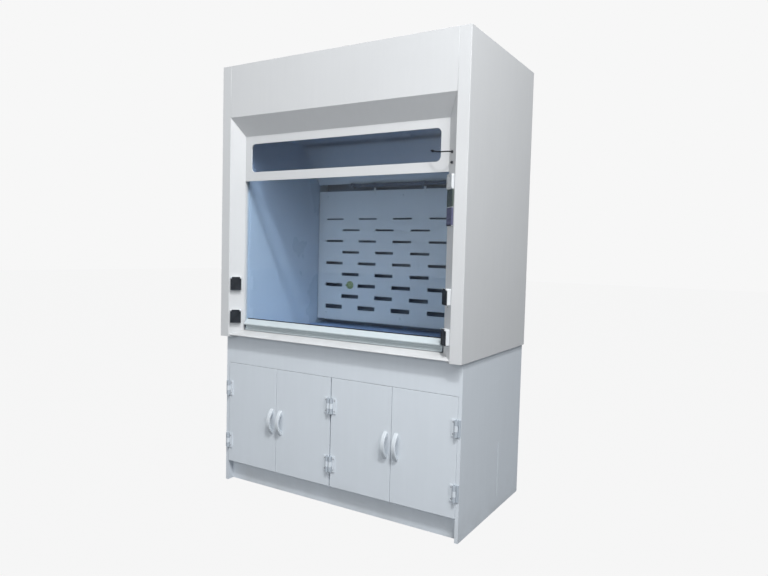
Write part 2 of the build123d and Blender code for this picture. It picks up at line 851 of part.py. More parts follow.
# a fork under the roof carries each pulley on its axle
cheek = 3.0
cheek_gap = 2.0
fork_half = 22.0
fork_plate = 4.0
with BuildPart() as pulley_brackets:
    inner_cheek = cable_x - pulley_half - cheek_gap
    outer_cheek = cable_x + pulley_half + cheek_gap
    for cheek_x in (inner_cheek - cheek, outer_cheek):
        board(
            (cheek_x, cheek_x + cheek),
            (deep(pulley_depth - fork_half), deep(pulley_depth + fork_half)),
            (pulley_height - 25, roof_underside),
        )
    board(
        (inner_cheek - cheek, outer_cheek + cheek + 15),
        (deep(pulley_depth - fork_half), deep(pulley_depth + fork_half)),
        (roof_underside - fork_plate, roof_underside),
    )
    with Locations((cable_x, deep(pulley_depth), pulley_height)):
        Cylinder(axle_radius, outer_cheek - inner_cheek + 2 * cheek + 4, rotation=(0, 90, 0))
    mirror(about=Plane.YZ)
pulley_brackets.part.label = "pulley_brackets"
export_step(pulley_brackets.part, "parts/pulley_brackets.step")

weight_width = 50.0
weight_depth = 100.0
weight_height = 260.0  # the two weights together balance the sash
weight_top = 2140.0
eye_height = 12.0
for side, name in ((-1, "counterweight_left"), (1, "counterweight_right")):
    with BuildPart() as counterweight:
        weight_middle = pulley_depth + wrap_radius
        board(
            (side * cable_x - weight_width / 2, side * cable_x + weight_width / 2),
            (deep(weight_middle - weight_depth / 2), deep(weight_middle + weight_depth / 2)),
            (weight_top - weight_height, weight_top),
        )
        chamfer(counterweight.edges(), 2)
        with BuildSketch(Plane.XY.offset(weight_top)):
            with Locations((side * cable_x, deep(weight_middle))):
                Circle(5)
        extrude(amount=eye_height)
    counterweight.part.label = name
    export_step(counterweight.part, f"parts/{name}.step")

# steel cables: from the lug, half round the pulley, and down to the weight
with BuildPart() as sash_cables:
    rear_depth = deep(pulley_depth + wrap_radius)
    with BuildLine() as cable_run:
        Line((cable_x, deep(cable_depth), lug_top), (cable_x, deep(cable_depth), pulley_height))
        ThreePointArc(
            (cable_x, deep(cable_depth), pulley_height),
            (cable_x, deep(pulley_depth), pulley_height + wrap_radius),
            (cable_x, rear_depth, pulley_height),
        )
        Line((cable_x, rear_depth, pulley_height), (cable_x, rear_depth, weight_top + eye_height))
    with BuildSketch(Plane(origin=(cable_x, deep(cable_depth), lug_top), x_dir=(1, 0, 0), z_dir=(0, 0, 1))):
        Circle(cable_radius)
    sweep(path=cable_run.wires()[0])
    mirror(about=Plane.YZ)
sash_cables.part.label = "sash_cables"
export_step(sash_cables.part, "parts/sash_cables.step")

# ================================================================ mains sockets on the splays
socket_half_height = 37.5
socket_centres = (962.0, 1147.0)
recess_radius = 19.5
recess_floor = 7.0
insert_radius = 17.0
insert_floor = 3.0
recess_drop = 4.0  # the recess sits this far below the box's middle
cover_pin = 1.2
cover_barrel = 3.2
barrel_height = socket_half_height - cover_barrel  # hinge axis above the box's middle
barrel_out = socket_depth + 3.6
barrel_half = 22.0
ear_width = 4.0
ear_offset = barrel_half + 0.5 + ear_width / 2
cover_bottom = -socket_half_height
sockets = [(side, centre) for side in (-1, 1) for centre in socket_centres]

with BuildPart() as socket_boxes:
    for side, centre in sockets:
        face = splay_plane(side, centre)
        shift = side * socket_shift
        with BuildSketch(face) as block:
            with Locations((shift, 0)):
                RectangleRounded(2 * cover_half, 2 * socket_half_height, 4)
        extrude(block.sketch, amount=socket_depth)
        hinge_line = Plane(origin=face.from_local_coords((shift, 0, 0)), x_dir=face.z_dir, z_dir=face.x_dir)
        for ear in (-ear_offset, ear_offset):
            with BuildSketch(hinge_line.offset(ear - ear_width / 2)) as lug:
                with Locations((barrel_out, -barrel_height)):
                    Circle(cover_barrel)
                with Locations(((barrel_out + socket_depth - 1) / 2, -barrel_height)):
                    Rectangle(barrel_out - socket_depth + 1, 2 * cover_barrel)
            extrude(lug.sketch, amount=ear_width)
        with BuildSketch(hinge_line.offset(-ear_offset)) as wire:
            with Locations((barrel_out, -barrel_height)):
                Circle(cover_pin)
        extrude(wire.sketch, amount=2 * ear_offset)
        with BuildSketch(face.offset(recess_floor)) as recess:
            with Locations((shift, -recess_drop)):
                Circle(recess_radius)
        extrude(recess.sketch, amount=socket_depth - recess_floor, mode=Mode.SUBTRACT)
        with BuildSketch(face.offset(insert_floor)) as seat:
            with Locations((shift, -recess_drop)):
                Circle(insert_radius)
        extrude(seat.sketch, amount=recess_floor - insert_floor, mode=Mode.SUBTRACT)
socket_boxes.part.label = "socket_boxes"
export_step(socket_boxes.part, "parts/socket_boxes.step")

with BuildPart() as socket_inserts:
    for side, centre in sockets:
        with BuildSketch(splay_plane(side, centre).offset(insert_floor)) as disc:
            with Locations((side * socket_shift, -recess_drop)):
                Circle(insert_radius - 0.2)
                with GridLocations(19, 0, 2, 1):
                    Circle(2.4, mode=Mode.SUBTRACT)
        extrude(disc.sketch, amount=recess_floor - insert_floor - 0.1)
socket_inserts.part.label = "socket_inserts"
export_step(socket_inserts.part, "parts/socket_inserts.step")

for number, (side, centre) in enumerate(sockets, start=1):
    with BuildPart() as cover:
        face = splay_plane(side, centre)
        shift = side * socket_shift
        with BuildSketch(face.offset(socket_depth + cover_gap)):
            with Locations((shift, (cover_bottom + barrel_height - 6) / 2)):
                RectangleRounded(2 * cover_half, barrel_height - 6 - cover_bottom, 3)
            with Locations((shift, barrel_height - 5)):
                Rectangle(2 * barrel_half, 10)
        extrude(amount=cover_thickness)
        hinge_line = Plane(origin=face.from_local_coords((shift, 0, 0)), x_dir=face.z_dir, z_dir=face.x_dir)
        with BuildSketch(hinge_line.offset(-barrel_half)):
            with Locations((barrel_out, -barrel_height)):
                Circle(cover_barrel)
        extrude(amount=2 * barrel_half)
        with BuildSketch(hinge_line.offset(-barrel_half)):
            with Locations((barrel_out, -barrel_height)):
                Circle(cover_pin + running_clearance)
        extrude(amount=2 * barrel_half, mode=Mode.SUBTRACT)
    cover.part.label = f"socket_cover_{number}"
    export_step(cover.part, f"parts/socket_cover_{number}.step")

# ================================================================ control panel on the right splay
panel_bottom = 1470.0
panel_top = 1704.0
panel_half = 33.0
panel_proud = 8.0
screen_centre = 1596.0
screen_half_height = 42.0
screen_half_width = 31.0
screen_thickness = 2.0
key_centres = (1535.0, 1511.0, 1487.0)
key_width = 42.0
key_height = 17.0
key_gap = 0.3
key_floor = 2.0
key_back = 3.6
key_front = 10.0
panel_plane = splay_plane(1, (panel_bottom + panel_top) / 2)

with BuildPart() as control_housing:
    with BuildSketch(panel_plane):
        RectangleRounded(2 * panel_half, panel_top - panel_bottom, 5)
    extrude(amount=panel_proud)
    hood_bottom = screen_centre + screen_half_height
    with BuildSketch(splay_plane(1, (hood_bottom + panel_top) / 2)):
        RectangleRounded(2 * panel_half, panel_top - hood_bottom, 5)
    extrude(amount=panel_proud + 5)
    with BuildSketch(splay_plane(1, screen_centre).offset(panel_proud - screen_thickness)):
        Rectangle(2 * screen_half_width, 2 * screen_half_height - 4)
    extrude(amount=screen_thickness, mode=Mode.SUBTRACT)
    for key_centre in key_centres:
        with BuildSketch(splay_plane(1, key_centre).offset(key_floor)):
            Rectangle(key_width + 2 * key_gap, key_height + 2 * key_gap)
        extrude(amount=panel_proud - key_floor, mode=Mode.SUBTRACT)
control_housing.part.label = "control_housing"
export_step(control_housing.part, "parts/control_housing.step")

with BuildPart() as control_screen:
    with BuildSketch(splay_plane(1, screen_centre).offset(panel_proud - screen_thickness)):
        Rectangle(2 * screen_half_width - 0.4, 2 * screen_half_height - 4.4)
    extrude(amount=screen_thickness)
control_screen.part.label = "control_screen"
export_step(control_screen.part, "parts/control_screen.step")

for number, key_centre in enumerate(key_centres, start=1):
    with BuildPart() as key:
        with BuildSketch(splay_plane(1, key_centre).offset(key_back)):
            RectangleRounded(key_width, key_height, 2)
        extrude(amount=key_front - key_back)
        fillet(key.faces().sort_by(Axis((0, 0, 0), (-1, -1, 0)))[-1].edges(), 1)
    key.part.label = f"control_key_{number}"
    export_step(key.part, f"parts/control_key_{number}.step")

# air sensor lead: out of a gland on the transom glass, sagging a little, and into a gland on the splay
lead_radius = 3.0
lead_height = 1806.0  # at the splay
exit_height = 1821.0  # at the window
gland_radius = 7.0
gland_length = 9.0
spare_gland_drop = 48.0
lead_exit_x = 541.0
glass_exit = (lead_exit_x, deep(transom_back - gland_length), exit_height)
splay_gland = splay_plane(1, lead_height)
lead_entry = splay_gland.from_local_coords((0, 0, gland_length))
lead_turn = splay_gland.from_local_coords((0, 0, gland_length + 20))
with BuildPart() as sensor_cable:
    with BuildLine() as lead_run:
        FilletPolyline(
            glass_exit,
            (lead_exit_x, deep(transom_back - gland_length - 27), exit_height),
            (lead_exit_x + 52, deep(16), lead_height),
            (lead_turn.X, lead_turn.Y, lead_height),
            (lead_entry.X, lead_entry.Y, lead_height),
            radius=(16, 24, 16),
        )
    with BuildSketch(Plane(origin=glass_exit, x_dir=(1, 0, 0), z_dir=(0, -1, 0))):
        Circle(lead_radius)
    sweep(path=lead_run.wires()[0])
    nut_seat = (lead_exit_x, deep(transom_back), exit_height)
    nut_plane = Plane(origin=nut_seat, x_dir=(1, 0, 0), z_dir=(0, -1, 0))
    with BuildSketch(nut_plane) as nut:
        RegularPolygon(gland_radius, 6)
    extrude(nut.sketch, amount=gland_length)
    for gland_height in (lead_height, lead_height - spare_gland_drop):
        with BuildSketch(splay_plane(1, gland_height)) as nut:
            RegularPolygon(gland_radius, 6)
        extrude(nut.sketch, amount=gland_length)
sensor_cable.part.label = "sensor_cable"
export_step(sensor_cable.part, "parts/sensor_cable.step")
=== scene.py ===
"""Finishes, fittings, light and camera for a laboratory fume hood of welded plastic sheet."""

import logging
import math
from dataclasses import dataclass, field
from enum import Enum

import bmesh
import bpy
from mathutils import Matrix, Vector


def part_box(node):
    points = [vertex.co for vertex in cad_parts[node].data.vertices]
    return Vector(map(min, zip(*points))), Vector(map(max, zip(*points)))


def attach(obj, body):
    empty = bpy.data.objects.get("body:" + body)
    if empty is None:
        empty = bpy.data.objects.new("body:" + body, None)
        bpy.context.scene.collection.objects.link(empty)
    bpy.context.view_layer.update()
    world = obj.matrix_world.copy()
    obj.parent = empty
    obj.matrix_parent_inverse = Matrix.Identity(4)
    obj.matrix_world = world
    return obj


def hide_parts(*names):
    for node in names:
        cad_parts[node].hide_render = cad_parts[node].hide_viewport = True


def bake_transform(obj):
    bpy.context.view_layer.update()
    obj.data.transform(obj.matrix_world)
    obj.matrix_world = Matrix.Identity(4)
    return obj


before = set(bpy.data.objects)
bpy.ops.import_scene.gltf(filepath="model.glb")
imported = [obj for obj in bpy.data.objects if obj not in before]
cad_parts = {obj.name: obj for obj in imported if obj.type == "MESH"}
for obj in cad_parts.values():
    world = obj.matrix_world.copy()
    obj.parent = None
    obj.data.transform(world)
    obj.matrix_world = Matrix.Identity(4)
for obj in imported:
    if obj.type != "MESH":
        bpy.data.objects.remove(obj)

log = logging.getLogger("fume_hood")

Colour = tuple[float, float, float]
Span = tuple[float, float]

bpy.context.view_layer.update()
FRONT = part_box("header_panel")[0].y
HALF_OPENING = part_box("baffle_upper")[1].x
SPLAY_REACH = 0.060
SIDES = ((-1, "left"), (1, "right"))
FORWARD = Vector((0.0, -1.0, 0.0))
ZERO = Vector((0.0, 0.0, 0.0))

SCREW_RISE = 0.42
SCREW_TOP = 0.78
DRIVE_BORDER = 0.4
DRIVE_DEPTH = 0.2


def deep(distance: float) -> float:
    """Y of a point that lies this many metres behind the hood's front face."""
    return FRONT + distance


def mirrored(side: int, near: float, far: float) -> Span:
    """The limits of a span on the left (-1) or right (1) side, lower one first."""
    return tuple(sorted((side * near, side * far)))


def linear(rgb: Colour) -> tuple[float, float, float, float]:
    """Turn a display colour into the linear colour that a shader takes.

    Args:
        rgb: Its red, green and blue, 0 to 255.

    Returns:
        The linear colour, with an alpha of 1.
    """
    unit = (value / 255 for value in rgb)
    scaled = [u / 12.92 if u <= 0.04045 else ((u + 0.055) / 1.055) ** 2.4 for u in unit]
    return (scaled[0], scaled[1], scaled[2], 1.0)


# ---------------------------------------------------------------- shader building
class Recipe:
    """A node tree while it is being put together."""

    def __init__(self, tree: bpy.types.NodeTree) -> None:
        """Start on an empty tree."""
        self.tree = tree

    def add(self, kind: str, **values: object) -> bpy.types.Node:
        """Add a node.

        Args:
            kind: The node's type name, without the ShaderNode prefix.
            values: Node settings, or input values by name with spaces as underscores.

        Returns:
            The new node.
        """
        node = self.tree.nodes.new(f"ShaderNode{kind}")
        for name, value in values.items():
            label = name.replace("_", " ")
            if hasattr(node, name):
                setattr(node, name, value)
            else:
                node.inputs[label].default_value = value
        return node

    def join(self, source: bpy.types.NodeSocket, target: bpy.types.NodeSocket) -> None:
        """Link an output to an input."""
        self.tree.links.new(source, target)

    def maths(self, operation: str, first: object, second: object = 0.0) -> bpy.types.NodeSocket:
        """Add a Math node.

        Args:
            operation: The node's operation.
            first: A socket or a number.
            second: A socket or a number.

        Returns:
            Its output.
        """
        node = self.add("Math", operation=operation)
        for slot, value in zip(node.inputs, (first, second)):
            if isinstance(value, bpy.types.NodeSocket):
                self.join(value, slot)
            else:
                slot.default_value = value
        return node.outputs[0]

    def times(self, first: object, second: object) -> bpy.types.NodeSocket:
        """Two sockets or numbers multiplied."""
        return self.maths("MULTIPLY", first, second)

    def plus(self, first: object, second: object) -> bpy.types.NodeSocket:
        """Two sockets or numbers added."""
        return self.maths("ADD", first, second)

    def own_place(self) -> bpy.types.NodeSocket:
        """The object's own coordinates."""
        return self.add("TexCoord").outputs["Object"]

    def squeezed(self, scale: Colour, turn: Colour = (0.0, 0.0, 0.0)) -> bpy.types.NodeSocket:
        """Add coordinates that draw a pattern out into lines.

        Args:
            scale: How closely the pattern repeats along each axis.
            turn: Its turn about each axis, in radians.

        Returns:
            The coordinates.
        """
        node = self.add("Mapping", Rotation=turn)
        node.inputs["Scale"].default_value = scale
        self.join(self.own_place(), node.inputs["Vector"])
        return node.outputs[0]

    def along(self, axis: str, vector: bpy.types.NodeSocket) -> bpy.types.NodeSocket:
        """Add a reading of one axis of a vector.

        Args:
            axis: "X", "Y" or "Z".
            vector: The vector.

        Returns:
            Its value along that axis.
        """
        node = self.add("SeparateXYZ")
        self.join(vector, node.inputs[0])
        return node.outputs[axis]

    def facing(self, axis: str) -> bpy.types.NodeSocket:
        """How far a face looks along an axis."""
        return self.along(axis, self.add("NewGeometry").outputs["Normal"])

    def darkened(self, colour: bpy.types.NodeSocket, value: float) -> bpy.types.NodeSocket:
        """Add a darker copy of a colour.

        Args:
            colour: The colour.
            value: The share of its brightness that is kept.

        Returns:
            The darker colour.
        """
        node = self.add("HueSaturation", Value=value)
        self.join(colour, node.inputs["Color"])
        return node.outputs[0]

    def blend(self, factor: object, first: object, second: object) -> bpy.types.NodeSocket:
        """Add a colour mix.

        Args:
            factor: A socket or a number.
            first: A socket or a colour, shown at factor 0.
            second: A socket or a colour, shown at factor 1.

        Returns:
            The mixed colour.
        """
        node = self.add("Mix", data_type="RGBA")
        for index, value in ((0, factor), (6, first), (7, second)):
            if isinstance(value, bpy.types.NodeSocket):
                self.join(value, node.inputs[index])
            else:
                node.inputs[index].default_value = value
        return node.outputs[2]

    def noise(self, place: bpy.types.NodeSocket, scale: object, detail: float = 3.0) -> bpy.types.NodeSocket:
        """Add a noise read at a place.

        Args:
            place: The coordinates.
            scale: A socket or a number.
            detail: The number of octaves.

        Returns:
            The noise, about 0 to 1.
        """
        node = self.add("TexNoise", Detail=detail)
        self.join(place, node.inputs["Vector"])
        if isinstance(scale, bpy.types.NodeSocket):
            self.join(scale, node.inputs["Scale"])
        else:
            node.inputs["Scale"].default_value = scale
        return node.outputs["Fac"]

    def ramp(self, value: bpy.types.NodeSocket, low: float, high: float) -> bpy.types.NodeSocket:
        """Add a clamped remap of low to high onto 0 to 1.

        Args:
            value: The value to remap.
            low: What becomes 0.
            high: What becomes 1.

        Returns:
            The remapped value.
        """
        node = self.add("MapRange", From_Min=low, From_Max=high)
        self.join(value, node.inputs["Value"])
        return node.outputs["Result"]


class Effect:
    """A shader node group that is built once and placed in many materials."""

    title = "effect"
    takes: tuple[tuple[str, str], ...] = ()
    gives: tuple[tuple[str, str], ...] = ()

    def group(self) -> bpy.types.NodeTree:
        """Give the group, built at its first use.

        Returns:
            The group.
        """
        found = bpy.data.node_groups.get(self.title)
        if found is not None:
            return found
        tree = bpy.data.node_groups.new(self.title, "ShaderNodeTree")
        for way, sockets in (("INPUT", self.takes), ("OUTPUT", self.gives)):
            for name, kind in sockets:
                tree.interface.new_socket(name, in_out=way, socket_type=f"NodeSocket{kind}")
        recipe = Recipe(tree)
        inputs = tree.nodes.new("NodeGroupInput").outputs
        outputs = tree.nodes.new("NodeGroupOutput").inputs
        self.fill(recipe, inputs, outputs)
        return tree

    def fill(self, recipe: Recipe, inputs: object, outputs: object) -> None:
        """Put the group's nodes in; each effect has its own."""
        raise NotImplementedError

    def place(self, recipe: Recipe, **values: object) -> bpy.types.Node:
        """Put this group in a material.

        Args:
            recipe: The material's recipe.
            values: Input values or sockets, by name with spaces as underscores.

        Returns:
            The group node.
        """
        node = recipe.tree.nodes.new("ShaderNodeGroup")
        node.node_tree = self.group()
        for name, value in values.items():
            slot = node.inputs[name.replace("_", " ")]
            if isinstance(value, bpy.types.NodeSocket):
                recipe.join(value, slot)
            else:
                slot.default_value = value
        return node


class ExtrudedGrain(Effect):
    """Extruded sheet: slow mottling, faint drawing lines and a fine orange peel."""

    title = "extruded_grain"
    takes = (
        ("Colour", "Color"), ("Variation", "Float"), ("Grain Scale", "Float"), ("Roughness", "Float"),
        ("Spread", "Float"),
    )
    gives = (("Colour", "Color"), ("Roughness", "Float"), ("Height", "Float"))
    mottle_scale = 2.3
    line_scale = 4.0
    line_squeeze = (9.0, 9.0, 0.7)
    contrast = (0.3, 0.7)
    mottle_share = 0.65
    line_share = 0.35
    line_relief = 0.25
    darkest = 0.86

    def fill(self, recipe: Recipe, inputs: object, outputs: object) -> None:
        """Build the mottling, lines and peel.

        Args:
            recipe: The group's recipe.
            inputs: What the group takes.
            outputs: What the group gives.
        """
        place = recipe.own_place()
        mottle = recipe.ramp(recipe.noise(place, self.mottle_scale, 4.0), *self.contrast)
        drawn = recipe.squeezed(self.line_squeeze)
        lines = recipe.ramp(recipe.noise(drawn, self.line_scale, 2.0), *self.contrast)
        peel = recipe.noise(place, inputs["Grain Scale"], 2.0)
        both = recipe.plus(recipe.times(mottle, self.mottle_share), recipe.times(lines, self.line_share))
        dark = recipe.darkened(inputs["Colour"], self.darkest)
        mixed = recipe.blend(recipe.times(both, inputs["Variation"]), inputs["Colour"], dark)
        recipe.join(mixed, outputs["Colour"])
        swing = recipe.times(recipe.maths("SUBTRACT", mottle, 0.5), inputs["Spread"])
        recipe.join(recipe.plus(inputs["Roughness"], swing), outputs["Roughness"])
        recipe.join(recipe.plus(peel, recipe.times(lines, self.line_relief)), outputs["Height"])


class SettledDust(Effect):
    """Dust on faces that look up, and floor grime that fades out above the skirting."""

    title = "settled_dust"
    takes = (("Colour", "Color"), ("Dust", "Color"), ("Amount", "Float"))
    gives = (("Colour", "Color"),)
    upward = (0.4, 1.0)
    grime_height = 0.16
    patch_scale = 7.0
    patch = (0.35, 0.75)

    def fill(self, recipe: Recipe, inputs: object, outputs: object) -> None:
        """Build the two masks and lay the dust.

        Args:
            recipe: The group's recipe.
            inputs: What the group takes.
            outputs: What the group gives.
        """
        place = recipe.own_place()
        upward = recipe.ramp(recipe.facing("Z"), *self.upward)
        low = recipe.ramp(recipe.along("Z", place), self.grime_height, 0.0)
        patchy = recipe.ramp(recipe.noise(place, self.patch_scale, 5.0), *self.patch)
        mask = recipe.times(recipe.maths("MAXIMUM", upward, low), patchy)
        mixed = recipe.blend(recipe.times(mask, inputs["Amount"]), inputs["Colour"], inputs["Dust"])
        recipe.join(mixed, outputs["Colour"])


class PlenumStain(Effect):
    """Painted shade on the faces of a back board that look forwards into the exhaust plenum, darkening them
    as shade would.
    """

    title = "painted_plenum_shade"
    takes = (("Colour", "Color"), ("Stain", "Color"), ("Amount", "Float"))
    gives = (("Colour", "Color"),)
    forward = (-0.4, -0.8)
    patch_scale = 3.0
    patch_swing = 0.3
    patch_least = 0.75

    def fill(self, recipe: Recipe, inputs: object, outputs: object) -> None:
        """Build the mask from the way a face looks, broken up a little by noise.

        Args:
            recipe: The group's recipe.
            inputs: What the group takes.
            outputs: What the group gives.
        """
        inward = recipe.ramp(recipe.facing("Y"), *self.forward)
        cloud = recipe.noise(recipe.own_place(), self.patch_scale, 4.0)
        patchy = recipe.plus(recipe.times(cloud, self.patch_swing), self.patch_least)
        mask = recipe.times(recipe.times(inward, patchy), inputs["Amount"])
        recipe.join(recipe.blend(mask, inputs["Colour"], inputs["Stain"]), outputs["Colour"])


class Scuffs(Effect):
    """Short rubbed marks that lighten a moulding and dull its gloss."""

    title = "scuffs"
    takes = (("Colour", "Color"), ("Roughness", "Float"), ("Amount", "Float"))
    gives = (("Colour", "Color"), ("Roughness", "Float"))
    squeeze = (40.0, 260.0, 40.0)
    turn = (0.4, 0.2, 0.5)
    mark = (0.56, 0.7)
    patch_scale = 14.0
    patch = (0.45, 0.65)
    rubbed = (0.8, 0.8, 0.8, 1.0)
    dulling = 0.3

    def fill(self, recipe: Recipe, inputs: object, outputs: object) -> None:
        """Build the marks from one stretched noise inside a patchy one.

        Args:
            recipe: The group's recipe.
            inputs: What the group takes.
            outputs: What the group gives.
        """
        marks = recipe.ramp(recipe.noise(recipe.squeezed(self.squeeze, self.turn), 1.0, 3.0), *self.mark)
        patch = recipe.ramp(recipe.noise(recipe.own_place(), self.patch_scale, 3.0), *self.patch)
        mask = recipe.times(recipe.times(marks, patch), inputs["Amount"])
        recipe.join(recipe.blend(mask, inputs["Colour"], self.rubbed), outputs["Colour"])
        recipe.join(recipe.plus(inputs["Roughness"], recipe.times(mask, self.dulling)), outputs["Roughness"])


class BrushedLines(Effect):
    """Fine lines along a metal part, with its gloss uneven across them."""

    title = "brushed_lines"
    takes = (("Colour", "Color"), ("Roughness", "Float"))
    gives = (("Colour", "Color"), ("Roughness", "Float"), ("Height", "Float"))
    squeeze = (900.0, 900.0, 12.0)
    darkest = 0.78
    dulling = 0.16

    def fill(self, recipe: Recipe, inputs: object, outputs: object) -> None:
        """Build the lines.

        Args:
            recipe: The group's recipe.
            inputs: What the group takes.
            outputs: What the group gives.
        """
        lines = recipe.noise(recipe.squeezed(self.squeeze), 1.0, 2.0)
        dark = recipe.darkened(inputs["Colour"], self.darkest)
        recipe.join(recipe.blend(lines, inputs["Colour"], dark), outputs["Colour"])
        recipe.join(recipe.plus(inputs["Roughness"], recipe.times(lines, self.dulling)), outputs["Roughness"])
        recipe.join(lines, outputs["Height"])


# ---------------------------------------------------------------- finishes
# The materials made so far, by name; the frame's own are not among them.
MADE: dict[str, bpy.types.Material] = {}
# Colour of the painted shade laid on the back board's plenum faces.
PLENUM_SHADE = (98, 112, 128)
DUST = (150, 148, 142)
FILM = (235, 240, 244)


class Family(Enum):
    """How a finish is made up."""

    SHEET = "sheet"
    MOULDING = "moulding"
    METAL = "metal"


@dataclass(frozen=True)
class Coating:
    """What a piece is made of."""

    name: str

    def dress(self, recipe: Recipe, shader: bpy.types.Node) -> None:
        """Fill in the material; each kind of coating has its own way."""
        raise NotImplementedError

    def material(self) -> bpy.types.Material:
        """Give the material, built at its first use.

        Returns:
            The material.
        """
        if self.name not in MADE:
            made = MADE[self.name] = bpy.data.materials.new(self.name)
            made.use_nodes = True
            self.dress(Recipe(made.node_tree), made.node_tree.nodes["Principled BSDF"])
        return MADE[self.name]


@dataclass(frozen=True)
class Finish(Coating):
    """An opaque finish, with its colour as 0 to 255 display values."""

    family: Family
    colour: Colour
    roughness: float = 0.42
    spread: float = 0.12
    variation: float = 0.45
    grain_scale: float = 420.0
    relief: float = 0.00008
    dust: float = 0.0
    scuff: float = 0.0
    coat: float = 0.0
    specular: float = 0.5
    # How much painted shade the plenum faces get.
    painted_shade: float = 0.0

    def dress(self, recipe: Recipe, shader: bpy.types.Node) -> None:
        """Lay the grain, then any scuffs, painted plenum shade and dust.

        Args:
            recipe: The material's recipe.
            shader: Its shader.
        """
        if self.family is Family.METAL:
            shader.inputs["Metallic"].default_value = 1.0
            ground = BrushedLines().place(recipe, Colour=linear(self.colour), Roughness=self.roughness)
        else:
            ground = ExtrudedGrain().place(
                recipe, Colour=linear(self.colour), Variation=self.variation, Grain_Scale=self.grain_scale,
                Roughness=self.roughness, Spread=self.spread,
            )
        colour, rough, height = ground.outputs
        if self.scuff:
            colour, rough = Scuffs().place(recipe, Colour=colour, Roughness=rough, Amount=self.scuff).outputs
        # Painted shade: the back board's plenum faces are darkened in colour, standing in for the shade
        # there.
        if self.painted_shade:
            shaded = PlenumStain().place(recipe, Colour=colour, Stain=linear(PLENUM_SHADE), Amount=self.painted_shade)
            colour = shaded.outputs[0]
        if self.dust:
            dusted = SettledDust().place(recipe, Colour=colour, Dust=linear(DUST), Amount=self.dust)
            colour = dusted.outputs[0]
        shader.inputs["Specular IOR Level"].default_value = self.specular
        if self.coat:
            shader.inputs["Coat Weight"].default_value = self.coat
        bump = recipe.add("Bump", Strength=0.5, Distance=self.relief)
        recipe.join(height, bump.inputs["Height"])
        recipe.join(bump.outputs[0], shader.inputs["Normal"])
        recipe.join(colour, shader.inputs["Base Color"])
        recipe.join(rough, shader.inputs["Roughness"])


@dataclass(frozen=True)
class Glazing(Coating):
    """A clear or tinted sheet that also lets light through to what is behind it."""

    colour: Colour
    shadow: Colour
    roughness: float = 0.02
    film_scale: float = 5.0
    film_tint: float = 0.06
    film_dulling: float = 0.03

    def dress(self, recipe: Recipe, shader: bpy.types.Node) -> None:
        """Lay a thin uneven film on the glass, and let light pass in shadow rays.

        Args:
            recipe: The material's recipe.
            shader: Its shader.
        """
        shader.inputs["Transmission Weight"].default_value = 1.0
        shader.inputs["IOR"].default_value = 1.46
        film = recipe.ramp(recipe.noise(recipe.own_place(), self.film_scale, 4.0), 0.35, 0.8)
        hazed = recipe.blend(recipe.times(film, self.film_tint), linear(self.colour), linear(FILM))
        recipe.join(hazed, shader.inputs["Base Color"])
        rough = recipe.plus(recipe.times(film, self.film_dulling), self.roughness)
        recipe.join(rough, shader.inputs["Roughness"])
        clear = recipe.add("BsdfTransparent")
        clear.inputs["Color"].default_value = linear(self.shadow)
        mix = recipe.add("MixShader")
        recipe.join(recipe.add("LightPath").outputs["Is Shadow Ray"], mix.inputs[0])
        recipe.join(shader.outputs[0], mix.inputs[1])
        recipe.join(clear.outputs[0], mix.inputs[2])
        recipe.join(mix.outputs[0], recipe.tree.nodes["Material Output"].inputs["Surface"])


WHITE_SHEET = Finish("white_sheet", Family.SHEET, (210, 212, 214), variation=0.3, dust=0.3)
BASE_SHEET = Finish("base_sheet", Family.SHEET, (214, 221, 228), variation=0.35, dust=0.25)
# The back board carries painted shade on the faces that look into the plenum.
BACK_SHEET = Finish("back_sheet", Family.SHEET, (210, 212, 214), variation=0.3, painted_shade=1.0)
# A bluish grey darker than the outer sheet: partly the liner's own grey, partly painted shade of the dim
# chamber behind the glass.
LINER_SHEET = Finish("liner_sheet", Family.SHEET, (178, 191, 204), roughness=0.3)
BAFFLE_SHEET = Finish("baffle_sheet", Family.SHEET, (194, 201, 205), roughness=0.4)
WHITE_MOULDING = Finish(
    "moulded_white", Family.MOULDING, (214, 218, 221), roughness=0.3, variation=0.2, scuff=0.3
)
BLACK_MOULDING = Finish(
    "moulded_black", Family.MOULDING, (38, 42, 49), roughness=0.55, variation=0.3, scuff=0.12, specular=0.3
)
PIPE_GREY = Finish("pipe_grey", Family.MOULDING, (74, 84, 98), roughness=0.4, variation=0.4, scuff=0.2)
GASKET = Finish("gasket_rubber", Family.MOULDING, (26, 28, 31), roughness=0.62, variation=0.4, specular=0.25)
HANDLE_GREY = Finish(
    "handle_grey", Family.MOULDING, (206, 213, 219), roughness=0.36, variation=0.25, scuff=0.3
)
HINGE_GREY = Finish("hinge_grey", Family.MOULDING, (176, 185, 194), roughness=0.45, variation=0.3, scuff=0.2)
RAIL_GREY = Finish("rail_grey", Family.MOULDING, (190, 200, 204), roughness=0.4, variation=0.25, scuff=0.3)
SLAB = Finish("worktop_slab", Family.SHEET, (126, 152, 188), roughness=0.5, grain_scale=700.0, relief=0.00015)
NYLON = Finish("turned_nylon", Family.MOULDING, (222, 219, 208), roughness=0.45)
IRON = Finish("painted_iron", Family.MOULDING, (66, 68, 72), roughness=0.6, grain_scale=260.0, relief=0.0003)
FOOT_BLACK = Finish("rubber_foot", Family.MOULDING, (30, 31, 33), roughness=0.7, dust=0.6)
STEEL = Finish("brushed_steel", Family.METAL, (168, 171, 176), roughness=0.28, relief=0.00002)
OUTLET_GREEN = Finish("outlet_moulding", Family.MOULDING, (142, 158, 114), roughness=0.35, scuff=0.2)
SCREEN_DARK = Finish(
    "screen_lens", Family.MOULDING, (72, 82, 78), roughness=0.3, variation=0.2, relief=0.00001, coat=0.3
)
KEY_PLUM = Finish("key_cap", Family.MOULDING, (90, 92, 120), roughness=0.45)
